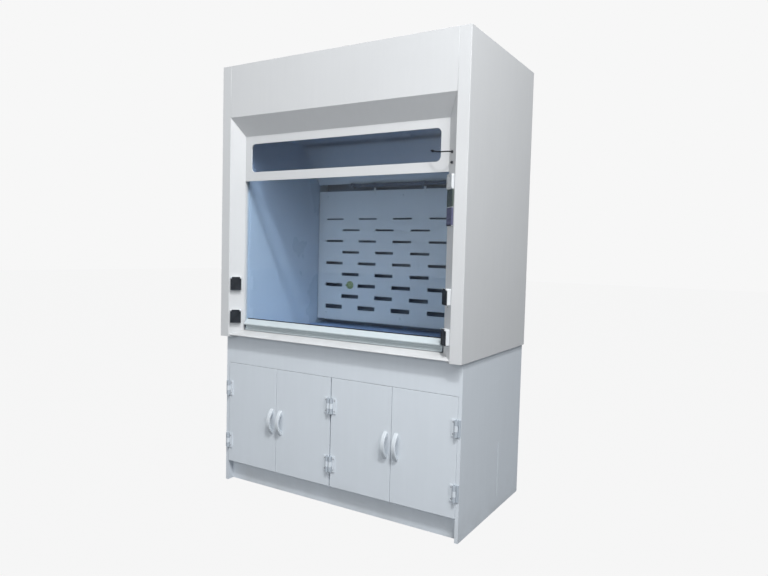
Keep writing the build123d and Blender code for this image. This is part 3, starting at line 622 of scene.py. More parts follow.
PAD_PLUM = Finish("pad_plum", Family.MOULDING, (84, 86, 114), roughness=0.5, variation=0.3)
DIFFUSER = Finish("opal_diffuser", Family.SHEET, (228, 234, 238), roughness=0.35, grain_scale=900.0)
SASH_GLASS = Glazing("sash_glass_clear", (232, 239, 246), (236, 242, 248))
WINDOW_GLASS = Glazing("window_glass_grey", (200, 209, 222), (222, 228, 236), roughness=0.12)

NODE_FINISH: dict[Coating, tuple[str, ...]] = {
    WHITE_SHEET: (
        "hood_sides", "front_posts", "header_panel", "transom_panel", "roof_panel", "exhaust_collar",
        "airfoil_sill",
    ),
    BASE_SHEET: (
        "base_sides", "base_floor", "base_back", "base_partition", "storage_shelves", "toe_kick",
        "apron_panel", "door_1", "door_2", "door_3", "door_4",
    ),
    LINER_SHEET: ("liner_sides", "liner_ceiling", "baffle_brackets", "sash_tracks"),
    BACK_SHEET: ("hood_back",),
    RAIL_GREY: ("sash_handle_rail",),
    BAFFLE_SHEET: ("baffle_lower", "baffle_upper"),
    WHITE_MOULDING: ("lamp_housing", "sash_side_rails", "socket_boxes", "control_housing"),
    HANDLE_GREY: ("door_handle_1", "door_handle_2", "door_handle_3", "door_handle_4"),
    HINGE_GREY: ("hinge_frame_leaves",),
    BLACK_MOULDING: ("door_catches", "socket_inserts"),
    SLAB: ("worktop",),
    NYLON: ("pulley_left", "pulley_right"),
    IRON: ("counterweight_left", "counterweight_right"),
    FOOT_BLACK: ("levelling_feet",),
    STEEL: ("hinge_pins", "pulley_brackets"),
    OUTLET_GREEN: ("service_outlet",),
    SCREEN_DARK: ("control_screen",),
    KEY_PLUM: ("control_key_1", "control_key_2", "control_key_3"),
    DIFFUSER: ("lamp_diffuser",),
    SASH_GLASS: ("sash_glass",),
    WINDOW_GLASS: ("transom_glass",),
}


# ---------------------------------------------------------------- piece building
def finish_piece(
    name: str, shape: bmesh.types.BMesh, finish: Coating, body: str | None, smooth: bool = False
) -> bpy.types.Object:
    """Turn a shape into a piece that rides on a body.

    Args:
        name: The piece's name.
        shape: The shape in the row frame, freed here.
        finish: What it is made of.
        body: The CAD body it rides on, or None for a piece that joins two bodies.
        smooth: Whether its faces are shaded smooth.

    Returns:
        The piece.
    """
    bmesh.ops.remove_doubles(shape, verts=shape.verts, dist=1e-6)
    bmesh.ops.recalc_face_normals(shape, faces=shape.faces)
    for face in shape.faces:
        face.smooth = smooth
    mesh = bpy.data.meshes.new(name)
    shape.to_mesh(mesh)
    shape.free()
    piece = bpy.data.objects.new(name, mesh)
    bpy.context.collection.objects.link(piece)
    mesh.materials.append(finish.material())
    if body is not None:
        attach(piece, body)
    return piece


def block(
    shape: bmesh.types.BMesh, x: Span, y: Span, z: Span, edge: float = 0.0, at: Matrix | None = None
) -> None:
    """Add a block with rounded edges to a shape.

    Args:
        shape: The shape to add to.
        x: Its limits along x.
        y: Its limits along y.
        z: Its limits along z.
        edge: How far its edges are rounded.
        at: A placing for the finished block.
    """
    middle = Vector([(low + high) / 2 for low, high in (x, y, z)])
    size = Vector([high - low for low, high in (x, y, z)])
    placing = Matrix.Translation(middle) @ Matrix.Diagonal((*size, 1.0))
    verts = bmesh.ops.create_cube(shape, size=1.0, matrix=placing)["verts"]
    if edge:
        edges = list({e for v in verts for e in v.link_edges})
        done = bmesh.ops.bevel(
            shape, geom=edges, offset=edge, affect="EDGES", segments=3, profile=0.5, material=-1
        )
        verts = list({v for f in done["faces"] for v in f.verts} | {v for v in verts if v.is_valid})
    if at is not None:
        bmesh.ops.transform(shape, matrix=at, verts=verts)


def rod(
    shape: bmesh.types.BMesh, start: Vector, end: Vector, radius: float, tip: float | None = None,
    segments: int = 24,
) -> list[bmesh.types.BMVert]:
    """Add a capped rod or taper between two points.

    Args:
        shape: The shape to add to.
        start: The middle of its first end.
        end: The middle of its other end.
        radius: Its radius at the start.
        tip: Its radius at the end, where that differs.
        segments: The number of its sides.

    Returns:
        Its vertices.
    """
    run = end - start
    turn = run.to_track_quat("Z", "Y").to_matrix().to_4x4()
    made = bmesh.ops.create_cone(
        shape, cap_ends=True, segments=segments, radius1=radius, radius2=radius if tip is None else tip,
        depth=run.length, matrix=Matrix.Translation((start + end) / 2) @ turn,
    )
    return made["verts"]


def screw_head(shape: bmesh.types.BMesh, at: Vector, out: Vector, radius: float) -> None:
    """Add a low pan head with a square drive recess.

    Args:
        shape: The shape to add to.
        at: The middle of its seat.
        out: The way it faces.
        radius: Its radius.
    """
    verts = rod(shape, at, at + out * radius * SCREW_RISE, radius, radius * SCREW_TOP, 20)
    cap = max((f for f in {f for v in verts for f in v.link_faces}), key=lambda f: f.normal.dot(out))
    bmesh.ops.inset_individual(shape, faces=[cap], thickness=radius * DRIVE_BORDER, depth=0.0)
    bmesh.ops.translate(shape, vec=-out * radius * DRIVE_DEPTH, verts=list(cap.verts))


def splay_frame(side: int, height: float) -> Matrix:
    """The placing of a splay: x along it, y upwards and z out into the room.

    Args:
        side: 1 for the right post and -1 for the left.
        height: The height of its origin.

    Returns:
        The placing.
    """
    root = math.sqrt(0.5)
    along = Vector((root, -side * root, 0.0))
    out = Vector((-side * root, -root, 0.0))
    origin = Vector((side * (HALF_OPENING + SPLAY_REACH / 2), deep(SPLAY_REACH / 2), height))
    turned = Matrix((along, Vector((0, 0, 1)), out)).transposed().to_4x4()
    return Matrix.Translation(origin) @ turned


# ---------------------------------------------------------------- sub-assemblies
@dataclass
class CabinetDress:
    """Screws on the door hinges and the joint strips on the base's sides."""

    hinge_heights: tuple[float, float] = (0.236, 0.542)
    screw_radius: float = 0.0032
    screw_spread: float = 0.028
    leaf_middle: float = 0.01775
    leaf_front: float = 0.040
    hinge_axes: tuple[tuple[str, float, int], ...] = (
        ("door_1", -0.718, 1), ("door_2", -0.0095, -1), ("door_3", 0.0095, 1), ("door_4", 0.718, -1),
    )
    strip_depth: float = 0.534
    strip_span: Span = (0.075, 0.36)
    strip_half: float = 0.004
    strip_sunk: float = 0.0002
    strip_proud: float = 0.0012
    strip_edge: float = 0.0004

    def build(self) -> None:
        """Build the screws and the strips."""
        for door, axis_x, way in self.hinge_axes:
            shape = bmesh.new()
            for height in self.hinge_heights:
                for step in (-1, 1):
                    rise = height + step * self.screw_spread
                    at = Vector((axis_x + way * self.leaf_middle, deep(self.leaf_front), rise))
                    screw_head(shape, at, FORWARD, self.screw_radius)
            finish_piece(f"hinge_screws_{door}", shape, STEEL, door)
        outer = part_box("base_sides")[1].x
        y = (deep(self.strip_depth) - self.strip_half, deep(self.strip_depth) + self.strip_half)
        for side, name in SIDES:
            shape = bmesh.new()
            x = mirrored(side, outer - self.strip_sunk, outer + self.strip_proud)
            block(shape, x, y, self.strip_span, self.strip_edge)
            finish_piece(f"joint_strip_{name}", shape, BASE_SHEET, "cabinet")
        log.info("cabinet: hinge screws and joint strips")


@dataclass
class ShellDress:
    """Weld beads where the header meets the posts, and the baffle's screw caps."""

    bead_radius: float = 0.0006
    bead_bottom: float = 2.068
    cap_radius: float = 0.008
    cap_height: float = 0.003
    cap_taper: float = 0.7
    cap_x: tuple[float, ...] = (-0.56, 0.0, 0.56)
    cap_heights: tuple[float, float] = (0.94, 1.69)

    def build(self) -> None:
        """Build the beads and caps."""
        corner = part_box("header_panel")[1]
        shape = bmesh.new()
        for x in (-corner.x, corner.x):
            foot = Vector((x, FRONT, self.bead_bottom))
            rod(shape, foot, Vector((x, FRONT, corner.z)), self.bead_radius, segments=10)
        finish_piece("header_weld_beads", shape, WHITE_SHEET, "cabinet", smooth=True)
        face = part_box("baffle_lower")[0].y
        shape = bmesh.new()
        for x in self.cap_x:
            for z in self.cap_heights:
                top = Vector((x, face - self.cap_height, z))
                rod(shape, Vector((x, face, z)), top, self.cap_radius, self.cap_radius * self.cap_taper)
        finish_piece("baffle_screw_caps", shape, BAFFLE_SHEET, "cabinet")
        log.info("shell: header weld beads and baffle screw caps")


@dataclass
class WashPipeDress:
    """The wash pipe with its end fitting and wall flange, and the saddles that hold it to the baffle."""

    sides: int = 40
    radius: float = 0.0125
    depth: float = 0.736
    height: float = 1.7565
    end: float = -0.345
    fitting_radius: float = 0.017
    fitting_length: float = 0.028
    fitting_chamfer: float = 0.006
    tip_taper: float = 0.7
    end_gap: float = 0.0001
    saddle_outer: float = 0.016
    saddle_half: float = 0.007
    saddle_x: tuple[float, ...] = (-0.200, 0.150, 0.500)
    fit: float = 0.00005
    flange: float = 0.008
    flange_outer: float = 0.017
    tab_face: Span = (0.745, 0.748)
    tab_heights: Span = (1.6985, 1.7465)
    tab_edge: float = 0.0008

    def ring(self, shape: bmesh.types.BMesh, x: Span, outer: float) -> None:
        """Add a ring round the pipe.

        Args:
            shape: The shape to add to.
            x: Where it starts and ends along the pipe.
            outer: Its outer radius.
        """
        centre = Vector((0.0, deep(self.depth), self.height))
        inner = self.radius + self.fit
        corners = [(x[0], inner), (x[0], outer), (x[1], outer), (x[1], inner)]
        verts = [shape.verts.new(centre + Vector((along, 0, out))) for along, out in corners]
        edges = [shape.edges.new(pair) for pair in zip(verts, verts[1:] + verts[:1])]
        bmesh.ops.spin(
            shape, geom=verts + edges, cent=centre, axis=(1, 0, 0), angle=math.tau, steps=self.sides,
            use_merge=True,
        )

    def build(self) -> None:
        """Build the pipe with its saddle rings, and the saddles' tabs, in place of the plain ones."""
        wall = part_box("wash_pipe")[1].x
        y, z = deep(self.depth), self.height
        shape = bmesh.new()
        rod(shape, Vector((self.end, y, z)), Vector((wall, y, z)), self.radius, segments=self.sides)
        self.ring(shape, (wall - self.flange, wall), self.flange_outer)
        tip = self.end - self.fitting_length
        shoulder = Vector((tip + self.fitting_chamfer, y, z))
        narrow = self.fitting_radius * self.tip_taper
        rod(shape, Vector((tip, y, z)), shoulder, narrow, self.fitting_radius, self.sides)
        back = Vector((self.end - self.end_gap, y, z))
        rod(shape, shoulder, back, self.fitting_radius, segments=self.sides)
        spans = [(x - self.saddle_half, x + self.saddle_half) for x in self.saddle_x]
        for span in spans:
            self.ring(shape, span, self.saddle_outer)
        pipe = finish_piece("wash_pipe_run", shape, PIPE_GREY, "cabinet")
        shape = bmesh.new()
        y = (deep(self.tab_face[0]), deep(self.tab_face[1]))
        for span in spans:
            block(shape, span, y, self.tab_heights, self.tab_edge)
        tabs = finish_piece("wash_pipe_tabs", shape, BAFFLE_SHEET, "cabinet")
        for piece in (pipe, tabs):
            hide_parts("wash_pipe")
        log.info("wash pipe: run with end fitting, and %d saddles", len(spans))


@dataclass
class SashDress:
    """The glass's gasket, and the two wire cables with their standing and running legs."""

    gasket_height: float = 0.005
    gasket_thickness: float = 0.0014
    gasket_edge: float = 0.0004
    cable_radius: float = 0.002
    cable_x: float = 0.668
    lug_top: float = 1.640
    weight_eye: float = 2.152
    pulley_height: float = 2.260
    wrap_radius: float = 0.055
    front_leg: float = 0.086
    strand_sides: int = 12
    hollow: float = 0.86
    twists_per_metre: float = 26.0
    step: float = 0.01
    least_steps: int = 8
    wrap_steps: int = 40

    def gasket(self) -> None:
        """Build the black strip along the top of the pull rail, in front of the glass."""
        rail_low, rail_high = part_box("sash_handle_rail")
        glass_low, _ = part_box("sash_glass")
        shape = bmesh.new()
        block(
            shape, (rail_low.x, rail_high.x), (glass_low.y - self.gasket_thickness, glass_low.y),
            (rail_high.z, rail_high.z + self.gasket_height), self.gasket_edge,
        )
        finish_piece("sash_gasket", shape, GASKET, "sash")

    def section(self, shape: bmesh.types.BMesh) -> list[bmesh.types.BMVert]:
        """Add the cable's round section to a shape, flat at the origin."""
        made = bmesh.ops.create_circle(
            shape, cap_ends=False, segments=self.strand_sides, radius=self.cable_radius
        )
        return made["verts"]

    def close(self, shape: bmesh.types.BMesh) -> None:
        """Cap both ends of a length of cable."""
        bmesh.ops.holes_fill(shape, edges=[e for e in shape.edges if e.is_boundary], sides=0)

    def leg(self, side: int, y: float, low: float, high: float) -> bmesh.types.BMesh:
        """Build a straight stranded length of cable.

        Args:
            side: 1 for the right cable and -1 for the left.
            y: Where it stands, front to back.
            low: Its lower end's height.
            high: Its upper end's height.

        Returns:
            The shape.
        """
        shape = bmesh.new()
        ring = self.section(shape)
        for index, vert in enumerate(ring):
            if index % 2:
                vert.co *= self.hollow
        bmesh.ops.translate(shape, vec=(side * self.cable_x, y, low), verts=ring)
        edges = list(shape.edges)
        steps = max(self.least_steps, round((high - low) / self.step))
        centre = Vector((side * self.cable_x, y, 0))
        for _ in range(steps):
            grown = bmesh.ops.extrude_edge_only(shape, edges=edges)["geom"]
            verts = [g for g in grown if isinstance(g, bmesh.types.BMVert)]
            edges = [g for g in grown if isinstance(g, bmesh.types.BMEdge)]
            bmesh.ops.translate(shape, vec=(0, 0, (high - low) / steps), verts=verts)
            turn = Matrix.Rotation(math.tau * self.twists_per_metre * (high - low) / steps, 3, "Z")
            bmesh.ops.rotate(shape, cent=centre, matrix=turn, verts=verts)
        self.close(shape)
        return shape

    def wrap(self, side: int) -> bmesh.types.BMesh:
        """Build the half turn of cable over a pulley.

        Args:
            side: 1 for the right cable and -1 for the left.

        Returns:
            The shape.
        """
        shape = bmesh.new()
        start = Vector((side * self.cable_x, deep(self.front_leg), self.pulley_height))
        bmesh.ops.translate(shape, vec=start, verts=self.section(shape))
        bmesh.ops.spin(
            shape, geom=list(shape.verts) + list(shape.edges), cent=start + Vector((0, self.wrap_radius, 0)),
            axis=(-1, 0, 0), angle=math.pi, steps=self.wrap_steps,
        )
        self.close(shape)
        return shape

    def build(self) -> None:
        """Build the gasket and both cables."""
        self.gasket()
        front, rear = deep(self.front_leg), deep(self.front_leg + 2 * self.wrap_radius)
        for side, name in SIDES:
            over = finish_piece(f"cable_wrap_{name}", self.wrap(side), STEEL, "cabinet", smooth=True)
            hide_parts("sash_cables")
            legs = (
                ("front", "sash", front, self.lug_top),
                ("rear", f"counterweight_{name}", rear, self.weight_eye),
            )
            for place, body, y, low in legs:
                shape = self.leg(side, y, low, self.pulley_height)
                piece = finish_piece(f"cable_{place}_{name}", shape, STEEL, None)
                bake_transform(piece)
                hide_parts("sash_cables")
        log.info("sash: gasket and two cables over their pulleys")


@dataclass
class SocketDress:
    """The four flip covers, with a raised panel and a thumb lip, and the pilot lens below one."""

    half_width: float = 0.030
    half_height: float = 0.0375
    shift: float = 0.004
    seat: float = 0.0173
    thickness: float = 0.004
    corner: float = 0.003
    rim: float = 0.0008
    panel_border: float = 0.006
    panel_step: float = 0.0008
    edge: float = 0.0006
    neck: float = 0.006
    neck_lap: float = 0.001
    lip_half: float = 0.010
    lip_rise: Span = (0.0006, 0.0040)
    lip_inset: float = 0.0005
    lip_gap: float = 0.0001
    barrel_out: float = 0.0206
    barrel_up: float = 0.0343
    barrel_radius: float = 0.0031
    barrel_half: float = 0.022
    places: tuple[tuple[int, float], ...] = ((-1, 0.962), (-1, 1.147), (1, 0.962), (1, 1.147))
    lens_place: int = 3
    lens_drop: float = 0.047
    lens_radius: float = 0.0035
    lens_flatness: float = 0.6

    def cover(self, side: int, height: float) -> bmesh.types.BMesh:
        """Build one cover, closed.

        Args:
            side: 1 for the right splay and -1 for the left.
            height: The height of the socket's middle.

        Returns:
            The shape.
        """
        shape = bmesh.new()
        middle = side * self.shift
        top = self.barrel_up - self.neck
        lid = bmesh.ops.create_cube(shape, size=1.0)["verts"]
        bmesh.ops.scale(shape, vec=(2 * self.half_width, top + self.half_height, self.thickness), verts=lid)
        bmesh.ops.translate(
            shape, vec=(middle, (top - self.half_height) / 2, self.seat + self.thickness / 2), verts=lid
        )
        upright = [e for e in shape.edges if abs(e.verts[0].co.z - e.verts[1].co.z) > self.thickness / 2]
        bmesh.ops.bevel(
            shape, geom=upright, offset=self.corner, affect="EDGES", segments=4, profile=0.5, material=-1
        )
        face = max(shape.faces, key=lambda f: f.calc_center_median().z)
        rim = list(face.edges)
        bmesh.ops.bevel(
            shape, geom=rim, offset=self.rim, affect="EDGES", segments=2, profile=0.5, material=-1
        )
        face = max(shape.faces, key=lambda f: (round(f.calc_center_median().z, 6), f.calc_area()))
        bmesh.ops.inset_individual(shape, faces=[face], thickness=self.panel_border, depth=0.0)
        step = self.panel_step
        bmesh.ops.inset_individual(shape, faces=[face], thickness=step, depth=-step)
        across = (middle - self.barrel_half, middle + self.barrel_half)
        outer = self.seat + self.thickness
        block(shape, across, (top - self.neck_lap, self.barrel_up), (self.seat, outer), self.edge)
        end = Vector((across[0], self.barrel_up, self.barrel_out))
        rod(shape, end, end + Vector((2 * self.barrel_half, 0, 0)), self.barrel_radius)
        lip = (middle - self.lip_half, middle + self.lip_half)
        rise = tuple(reach - self.half_height for reach in self.lip_rise)
        block(shape, lip, rise, (self.seat + self.lip_inset, outer - self.lip_gap), self.edge)
        bmesh.ops.transform(shape, matrix=splay_frame(side, height), verts=shape.verts)
        return shape

    def build(self) -> None:
        """Build the covers and the lens."""
        for number, (side, height) in enumerate(self.places, start=1):
            body = f"socket_cover_{number}"
            shape = self.cover(side, height)
            piece = finish_piece(f"flip_cover_{number}", shape, BLACK_MOULDING, body)
            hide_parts(body)
        shape = bmesh.new()
        ball = bmesh.ops.create_uvsphere(shape, u_segments=20, v_segments=12, radius=self.lens_radius)
        made = ball["verts"]
        bmesh.ops.scale(shape, vec=(1, 1, self.lens_flatness), verts=made)
        side, height = self.places[self.lens_place]
        bmesh.ops.transform(shape, matrix=splay_frame(side, height - self.lens_drop), verts=made)
        finish_piece("pilot_lens", shape, OUTLET_GREEN, "cabinet", smooth=True)
        log.info("sockets: four flip covers and a pilot lens")


@dataclass
class PanelDress:
    """The screen's and keypad's foils, the membrane round the keys, a trim and two screws."""

    screw_radius: float = 0.0028
    screw_x: float = 0.028
    screw_height: float = 1.697
    cap_proud: float = 0.013
    face: float = 0.008
    membrane: float = 0.0005
    pad_half: float = 0.031
    pad_span: Span = (1.4745, 1.5535)
    key_half: float = 0.0213
    key_half_height: float = 0.0088
    key_heights: tuple[float, ...] = (1.487, 1.511, 1.535)
    trim_span: Span = (1.4702, 1.4742)
    trim_height: float = 0.0012
    trim_edge: float = 0.0003
    screen_half: float = 0.031
    screen_span: Span = (1.5555, 1.6365)
    housing_half: float = 0.033
    overlay: float = 0.0005

    def pad(self) -> bmesh.types.BMesh:
        """Build the membrane, with a hole for each key.

        Returns:
            The shape.
        """
        shape = bmesh.new()
        low, high = self.pad_span
        middle = (low + high) / 2
        size = Matrix.Diagonal((self.pad_half, (high - low) / 2, 1.0, 1.0))
        bmesh.ops.create_grid(shape, x_segments=1, y_segments=1, size=1.0, matrix=size)
        cuts = [(Vector((x, 0, 0)), Vector((1, 0, 0))) for x in (-self.key_half, self.key_half)]
        for key in self.key_heights:
            for edge in (-self.key_half_height, self.key_half_height):
                cuts.append((Vector((0, key - middle + edge, 0)), Vector((0, 1, 0))))
        for place, normal in cuts:
            whole = list(shape.verts) + list(shape.edges) + list(shape.faces)
            bmesh.ops.bisect_plane(shape, geom=whole, dist=1e-6, plane_co=place, plane_no=normal)
        holes = [f for f in shape.faces if self.over_key(f.calc_center_median(), middle)]
        bmesh.ops.delete(shape, geom=holes, context="FACES")
        grown = bmesh.ops.extrude_face_region(shape, geom=list(shape.faces))["geom"]
        raised = [g for g in grown if isinstance(g, bmesh.types.BMVert)]
        bmesh.ops.translate(shape, vec=(0, 0, self.membrane), verts=raised)
        placing = splay_frame(1, middle) @ Matrix.Translation((0, 0, self.face))
        bmesh.ops.transform(shape, matrix=placing, verts=shape.verts)
        return shape

    def over_key(self, place: Vector, middle: float) -> bool:
        """Whether a place on the flat membrane lies over a key."""
        level = any(abs(place.y + middle - key) < self.key_half_height for key in self.key_heights)
        return level and abs(place.x) < self.key_half

    def overlay_edges(self, span: Span) -> bmesh.types.BMesh:
        """Build a foil that runs from the face over both edges of the housing.

        Args:
            span: Its lower and upper heights.

        Returns:
            The shape.
        """
        shape = bmesh.new()
        middle = sum(span) / 2
        rise = (span[0] - middle, span[1] - middle)
        top = self.face + self.overlay
        for side in (-1, 1):
            edge = mirrored(side, self.housing_half, self.housing_half + self.overlay)
            border = mirrored(side, self.screen_half, self.housing_half)
            block(shape, edge, rise, (self.overlay, top), 0.0, splay_frame(1, middle))
            block(shape, border, rise, (self.face, top), 0.0, splay_frame(1, middle))
        return shape

    def build(self) -> None:
        """Build the foils, the membrane, the trim and the screws."""
        foils = (("screen_foil", self.screen_span, SCREEN_DARK), ("keypad_foil", self.pad_span, PAD_PLUM))
        for name, span, finish in foils:
            finish_piece(name, self.overlay_edges(span), finish, "cabinet")
        finish_piece("keypad_membrane", self.pad(), PAD_PLUM, "cabinet")
        shape = bmesh.new()
        low, high = self.trim_span
        middle = (low + high) / 2
        block(
            shape, (-self.pad_half, self.pad_half), (low - middle, high - middle),
            (self.face, self.face + self.trim_height), self.trim_edge, splay_frame(1, middle),
        )
        finish_piece("keypad_trim", shape, BLACK_MOULDING, "cabinet")
        shape = bmesh.new()
        placing = splay_frame(1, self.screw_height)
        out = (placing.to_3x3() @ Vector((0, 0, 1))).normalized()
        for x in (-self.screw_x, self.screw_x):
            screw_head(shape, placing @ Vector((x, 0, self.cap_proud)), out, self.screw_radius)
        finish_piece("panel_screws", shape, STEEL, "cabinet")
        log.info("panel: foils, keypad membrane, trim and two screws")


@dataclass
class SensorLead:
    """The short sensor lead between the transom window and the splay, with three glands."""

    diameter: float = 0.006
    height: float = 1.806
    exit_height: float = 1.821
    exit_x: float = 0.541
    gland_radius: float = 0.007
    gland_length: float = 0.009
    nut_share: float = 0.6
    nut_taper: float = 0.72
    nose_taper: float = 0.62
    window_run: float = 0.027
    side_run: float = 0.052
    middle_depth: float = 0.016
    splay_run: float = 0.020
    spare_drop: float = 0.048
    route: list[Vector] = field(default_factory=list)

    def plan(self) -> None:
        """Set out the route's points."""
        placing = splay_frame(1, self.height)
        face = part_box("transom_glass")[0].y
        self.route = [
            Vector((self.exit_x, face - self.gland_length, self.exit_height)),
            Vector((self.exit_x, face - self.gland_length - self.window_run, self.exit_height)),
            Vector((self.exit_x + self.side_run, deep(self.middle_depth), self.height)),
            placing @ Vector((0, 0, self.gland_length + self.splay_run)),
            placing @ Vector((0, 0, self.gland_length)),
        ]

    def lead(self) -> tuple[bpy.types.Object, float]:
        """Build the lead as a smooth curve.

        Returns:
            The lead, and the length of its middle line.
        """
        curve = bpy.data.curves.new("sensor_lead", "CURVE")
        curve.dimensions = "3D"
        spline = curve.splines.new("NURBS")
        spline.points.add(len(self.route) - 1)
        for point, place in zip(spline.points, self.route):
            point.co = (*place, 1.0)
        spline.order_u = 3
        spline.use_endpoint_u = True
        spline.resolution_u = 16
        piece = bpy.data.objects.new("sensor_lead", curve)
        bpy.context.collection.objects.link(piece)
        bpy.context.view_layer.update()
        line = bpy.data.meshes.new_from_object(piece)
        ends = [[line.vertices[index].co for index in edge.vertices] for edge in line.edges]
        length = sum((far - near).length for near, far in ends)
        bpy.data.meshes.remove(line)
        curve.bevel_depth = self.diameter / 2
        curve.bevel_resolution = 4
        curve.use_fill_caps = True
        curve.materials.append(GASKET.material())
        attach(piece, "cabinet")
        return piece, length

    def gland(self, name: str, seat: Vector, out: Vector) -> bpy.types.Object:
        """Build a hexagon nut with a tapered nose.

        Args:
            name: The piece's name.
            seat: The middle of its seat.
            out: The way it faces.

        Returns:
            The piece.
        """
        shape = bmesh.new()
        nose = seat + out * self.gland_length * self.nut_share
        rod(shape, seat, nose, self.gland_radius, segments=6)
        root, tip = self.gland_radius * self.nut_taper, self.diameter * self.nose_taper
        rod(shape, nose, seat + out * self.gland_length, root, tip, 20)
        return finish_piece(name, shape, BLACK_MOULDING, "cabinet")

    def build(self) -> None:
        self.plan()
        splay = splay_frame(1, self.height)
        out = (splay.to_3x3() @ Vector((0, 0, 1))).normalized()
        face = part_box("transom_glass")[0].y
        glands = [
            self.gland("gland_window", Vector((self.exit_x, face, self.exit_height)), FORWARD),
            self.gland("gland_splay", splay @ ZERO, out),
            self.gland("gland_spare", splay_frame(1, self.height - self.spare_drop) @ ZERO, out),
        ]
        piece, length = self.lead()
        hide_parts("sensor_cable")
        log.info("sensor lead: %.1f mm", length * 1000)


@dataclass
class LampDress:
    """The tube and its two holders inside the lamp housing."""

    tube_radius: float = 0.013
    half_length: float = 0.27
    holder: float = 0.018
    holder_length: float = 0.016
    holder_gap: float = 0.003
    holder_edge: float = 0.002

    def build(self) -> None:
        """Build the tube and the holders."""
        low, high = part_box("lamp_housing")
        y, z = (low.y + high.y) / 2, (low.z + high.z) / 2
        shape = bmesh.new()
        end = Vector((self.half_length, y, z))
        rod(shape, Vector((-self.half_length, y, z)), end, self.tube_radius, segments=32)
        finish_piece("lamp_tube", shape, DIFFUSER, "cabinet")
        shape = bmesh.new()
        for side in (-1, 1):
            x = mirrored(side, self.half_length, self.half_length + self.holder_length)
            rise = (z - self.holder, high.z - self.holder_gap)
            block(shape, x, (y - self.holder, y + self.holder), rise, self.holder_edge)
        finish_piece("lamp_holders", shape, WHITE_MOULDING, "cabinet")
        log.info("lamp: tube and holders")


class NodeDress:
    """Gives every shown CAD node its finish."""

    def build(self) -> None:
        """Assign the finishes, and stop if a node has none."""
        given = {node: finish for finish, nodes in NODE_FINISH.items() for node in nodes}
        for name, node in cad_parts.items():
            if node.hide_render:
                continue
            node.data.materials.clear()
            node.data.materials.append(given[name].material())
        log.info("finishes on %d nodes", len(given))


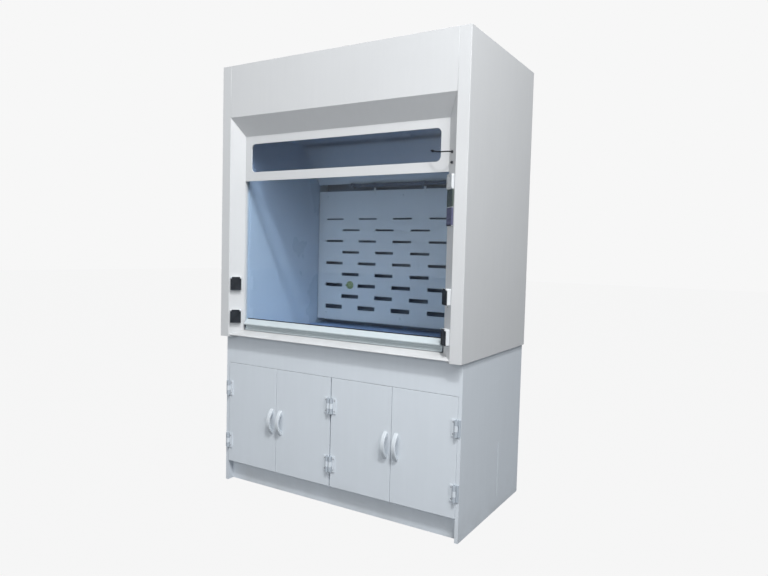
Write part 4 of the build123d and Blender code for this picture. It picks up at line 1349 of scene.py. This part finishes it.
# ---------------------------------------------------------------- studio
@dataclass
class Studio:
    """Pale floor, soft light and the camera."""

    position: tuple[float, float, float] = (1.90605, -3.02098, 1.34318)
    azimuth: float = 31.1609
    pitch: float = 3.22266
    roll: float = 1.46614
    lens: float = 29.688
    lamps: tuple[tuple[str, tuple[float, float, float], float, float], ...] = (
        ("key", (3.2, -3.7, 7.6), 0.6, 385.0),
        ("side", (3.0, -2.2, 3.7), 1.6, 84.0),
        ("front", (-0.3, -5.2, 2.2), 2.4, 60.0),
        ("rear", (-2.4, 4.6, 3.4), 3.0, 110.0),
    )
    aim: tuple[float, float, float] = (0.0, 0.0, 1.15)
    ambient: float = 0.33
    surround: tuple[float, float, float, float] = (0.95, 0.98, 1.0, 1.0)
    floor_half: float = 30.0
    floor_colour: Colour = (122, 125, 129)
    floor_glow: float = 0.985
    backdrop: Colour = (247, 247, 247)

    def camera(self) -> None:
        """Make the camera and aim it."""
        az, pitch, roll = (math.radians(a) for a in (self.azimuth, self.pitch, self.roll))
        ahead = Vector((-math.sin(az) * math.cos(pitch), math.cos(az) * math.cos(pitch), -math.sin(pitch)))
        level = Vector((math.cos(az), math.sin(az), 0.0))
        up = level.cross(ahead)
        right = math.cos(roll) * level + math.sin(roll) * up
        upright = -math.sin(roll) * level + math.cos(roll) * up
        data = bpy.data.cameras.new("camera")
        data.sensor_width, data.lens = 36.0, self.lens
        holder = bpy.data.objects.new("camera", data)
        bpy.context.collection.objects.link(holder)
        turned = Matrix((right, upright, -ahead)).transposed().to_4x4()
        holder.matrix_world = Matrix.Translation(self.position) @ turned
        bpy.context.scene.camera = holder

    def light(self) -> None:
        """Make the soft lamps and the pale surround."""
        for name, place, size, power in self.lamps:
            data = bpy.data.lights.new(name, "AREA")
            data.shape, data.size, data.energy = "SQUARE", size, power
            lamp = bpy.data.objects.new(name, data)
            lamp.visible_camera = False
            bpy.context.collection.objects.link(lamp)
            turned = (Vector(self.aim) - Vector(place)).to_track_quat("-Z", "Y").to_matrix().to_4x4()
            lamp.matrix_world = Matrix.Translation(place) @ turned
        world = bpy.data.worlds.new("surround")
        world.use_nodes = True
        recipe = Recipe(world.node_tree)
        seen = world.node_tree.nodes["Background"]
        seen.inputs["Color"].default_value = linear(self.backdrop)
        lit = recipe.add("Background", Color=self.surround, Strength=self.ambient)
        mix = recipe.add("MixShader")
        recipe.join(recipe.add("LightPath").outputs["Is Camera Ray"], mix.inputs[0])
        recipe.join(lit.outputs[0], mix.inputs[1])
        recipe.join(seen.outputs[0], mix.inputs[2])
        recipe.join(mix.outputs[0], world.node_tree.nodes["World Output"].inputs["Surface"])
        bpy.context.scene.world = world
        bpy.context.scene.view_settings.view_transform = "Standard"

    def floor(self) -> None:
        """Make the plain pale floor."""
        shape = bmesh.new()
        bmesh.ops.create_grid(shape, x_segments=1, y_segments=1, size=self.floor_half)
        mesh = bpy.data.meshes.new("floor")
        shape.to_mesh(mesh)
        shape.free()
        ground = bpy.data.objects.new("floor", mesh)
        bpy.context.collection.objects.link(ground)
        paint = bpy.data.materials.new("pale_floor")
        paint.use_nodes = True
        recipe = Recipe(paint.node_tree)
        matt = paint.node_tree.nodes["Principled BSDF"]
        matt.inputs["Base Color"].default_value = linear(self.floor_colour)
        matt.inputs["Roughness"].default_value = 0.9
        glow = recipe.add("Emission", Color=linear(self.backdrop))
        mix = recipe.add("MixShader")
        seen = recipe.times(recipe.add("LightPath").outputs["Is Camera Ray"], self.floor_glow)
        recipe.join(seen, mix.inputs[0])
        recipe.join(matt.outputs[0], mix.inputs[1])
        recipe.join(glow.outputs[0], mix.inputs[2])
        recipe.join(mix.outputs[0], paint.node_tree.nodes["Material Output"].inputs["Surface"])
        mesh.materials.append(paint)

    def build(self) -> None:
        """Build the floor, lights and camera."""
        self.camera()
        self.light()
        self.floor()
        log.info("studio ready")


def main() -> None:
    """Build everything in order."""
    logging.basicConfig(level=logging.INFO, format="%(name)s: %(message)s")
    Studio().build()
    SensorLead().build()
    dresses = (
        CabinetDress, ShellDress, WashPipeDress, SashDress, SocketDress, PanelDress, LampDress, NodeDress,
    )
    for dress in dresses:
        dress().build()


if __name__ == "__main__":
    main()
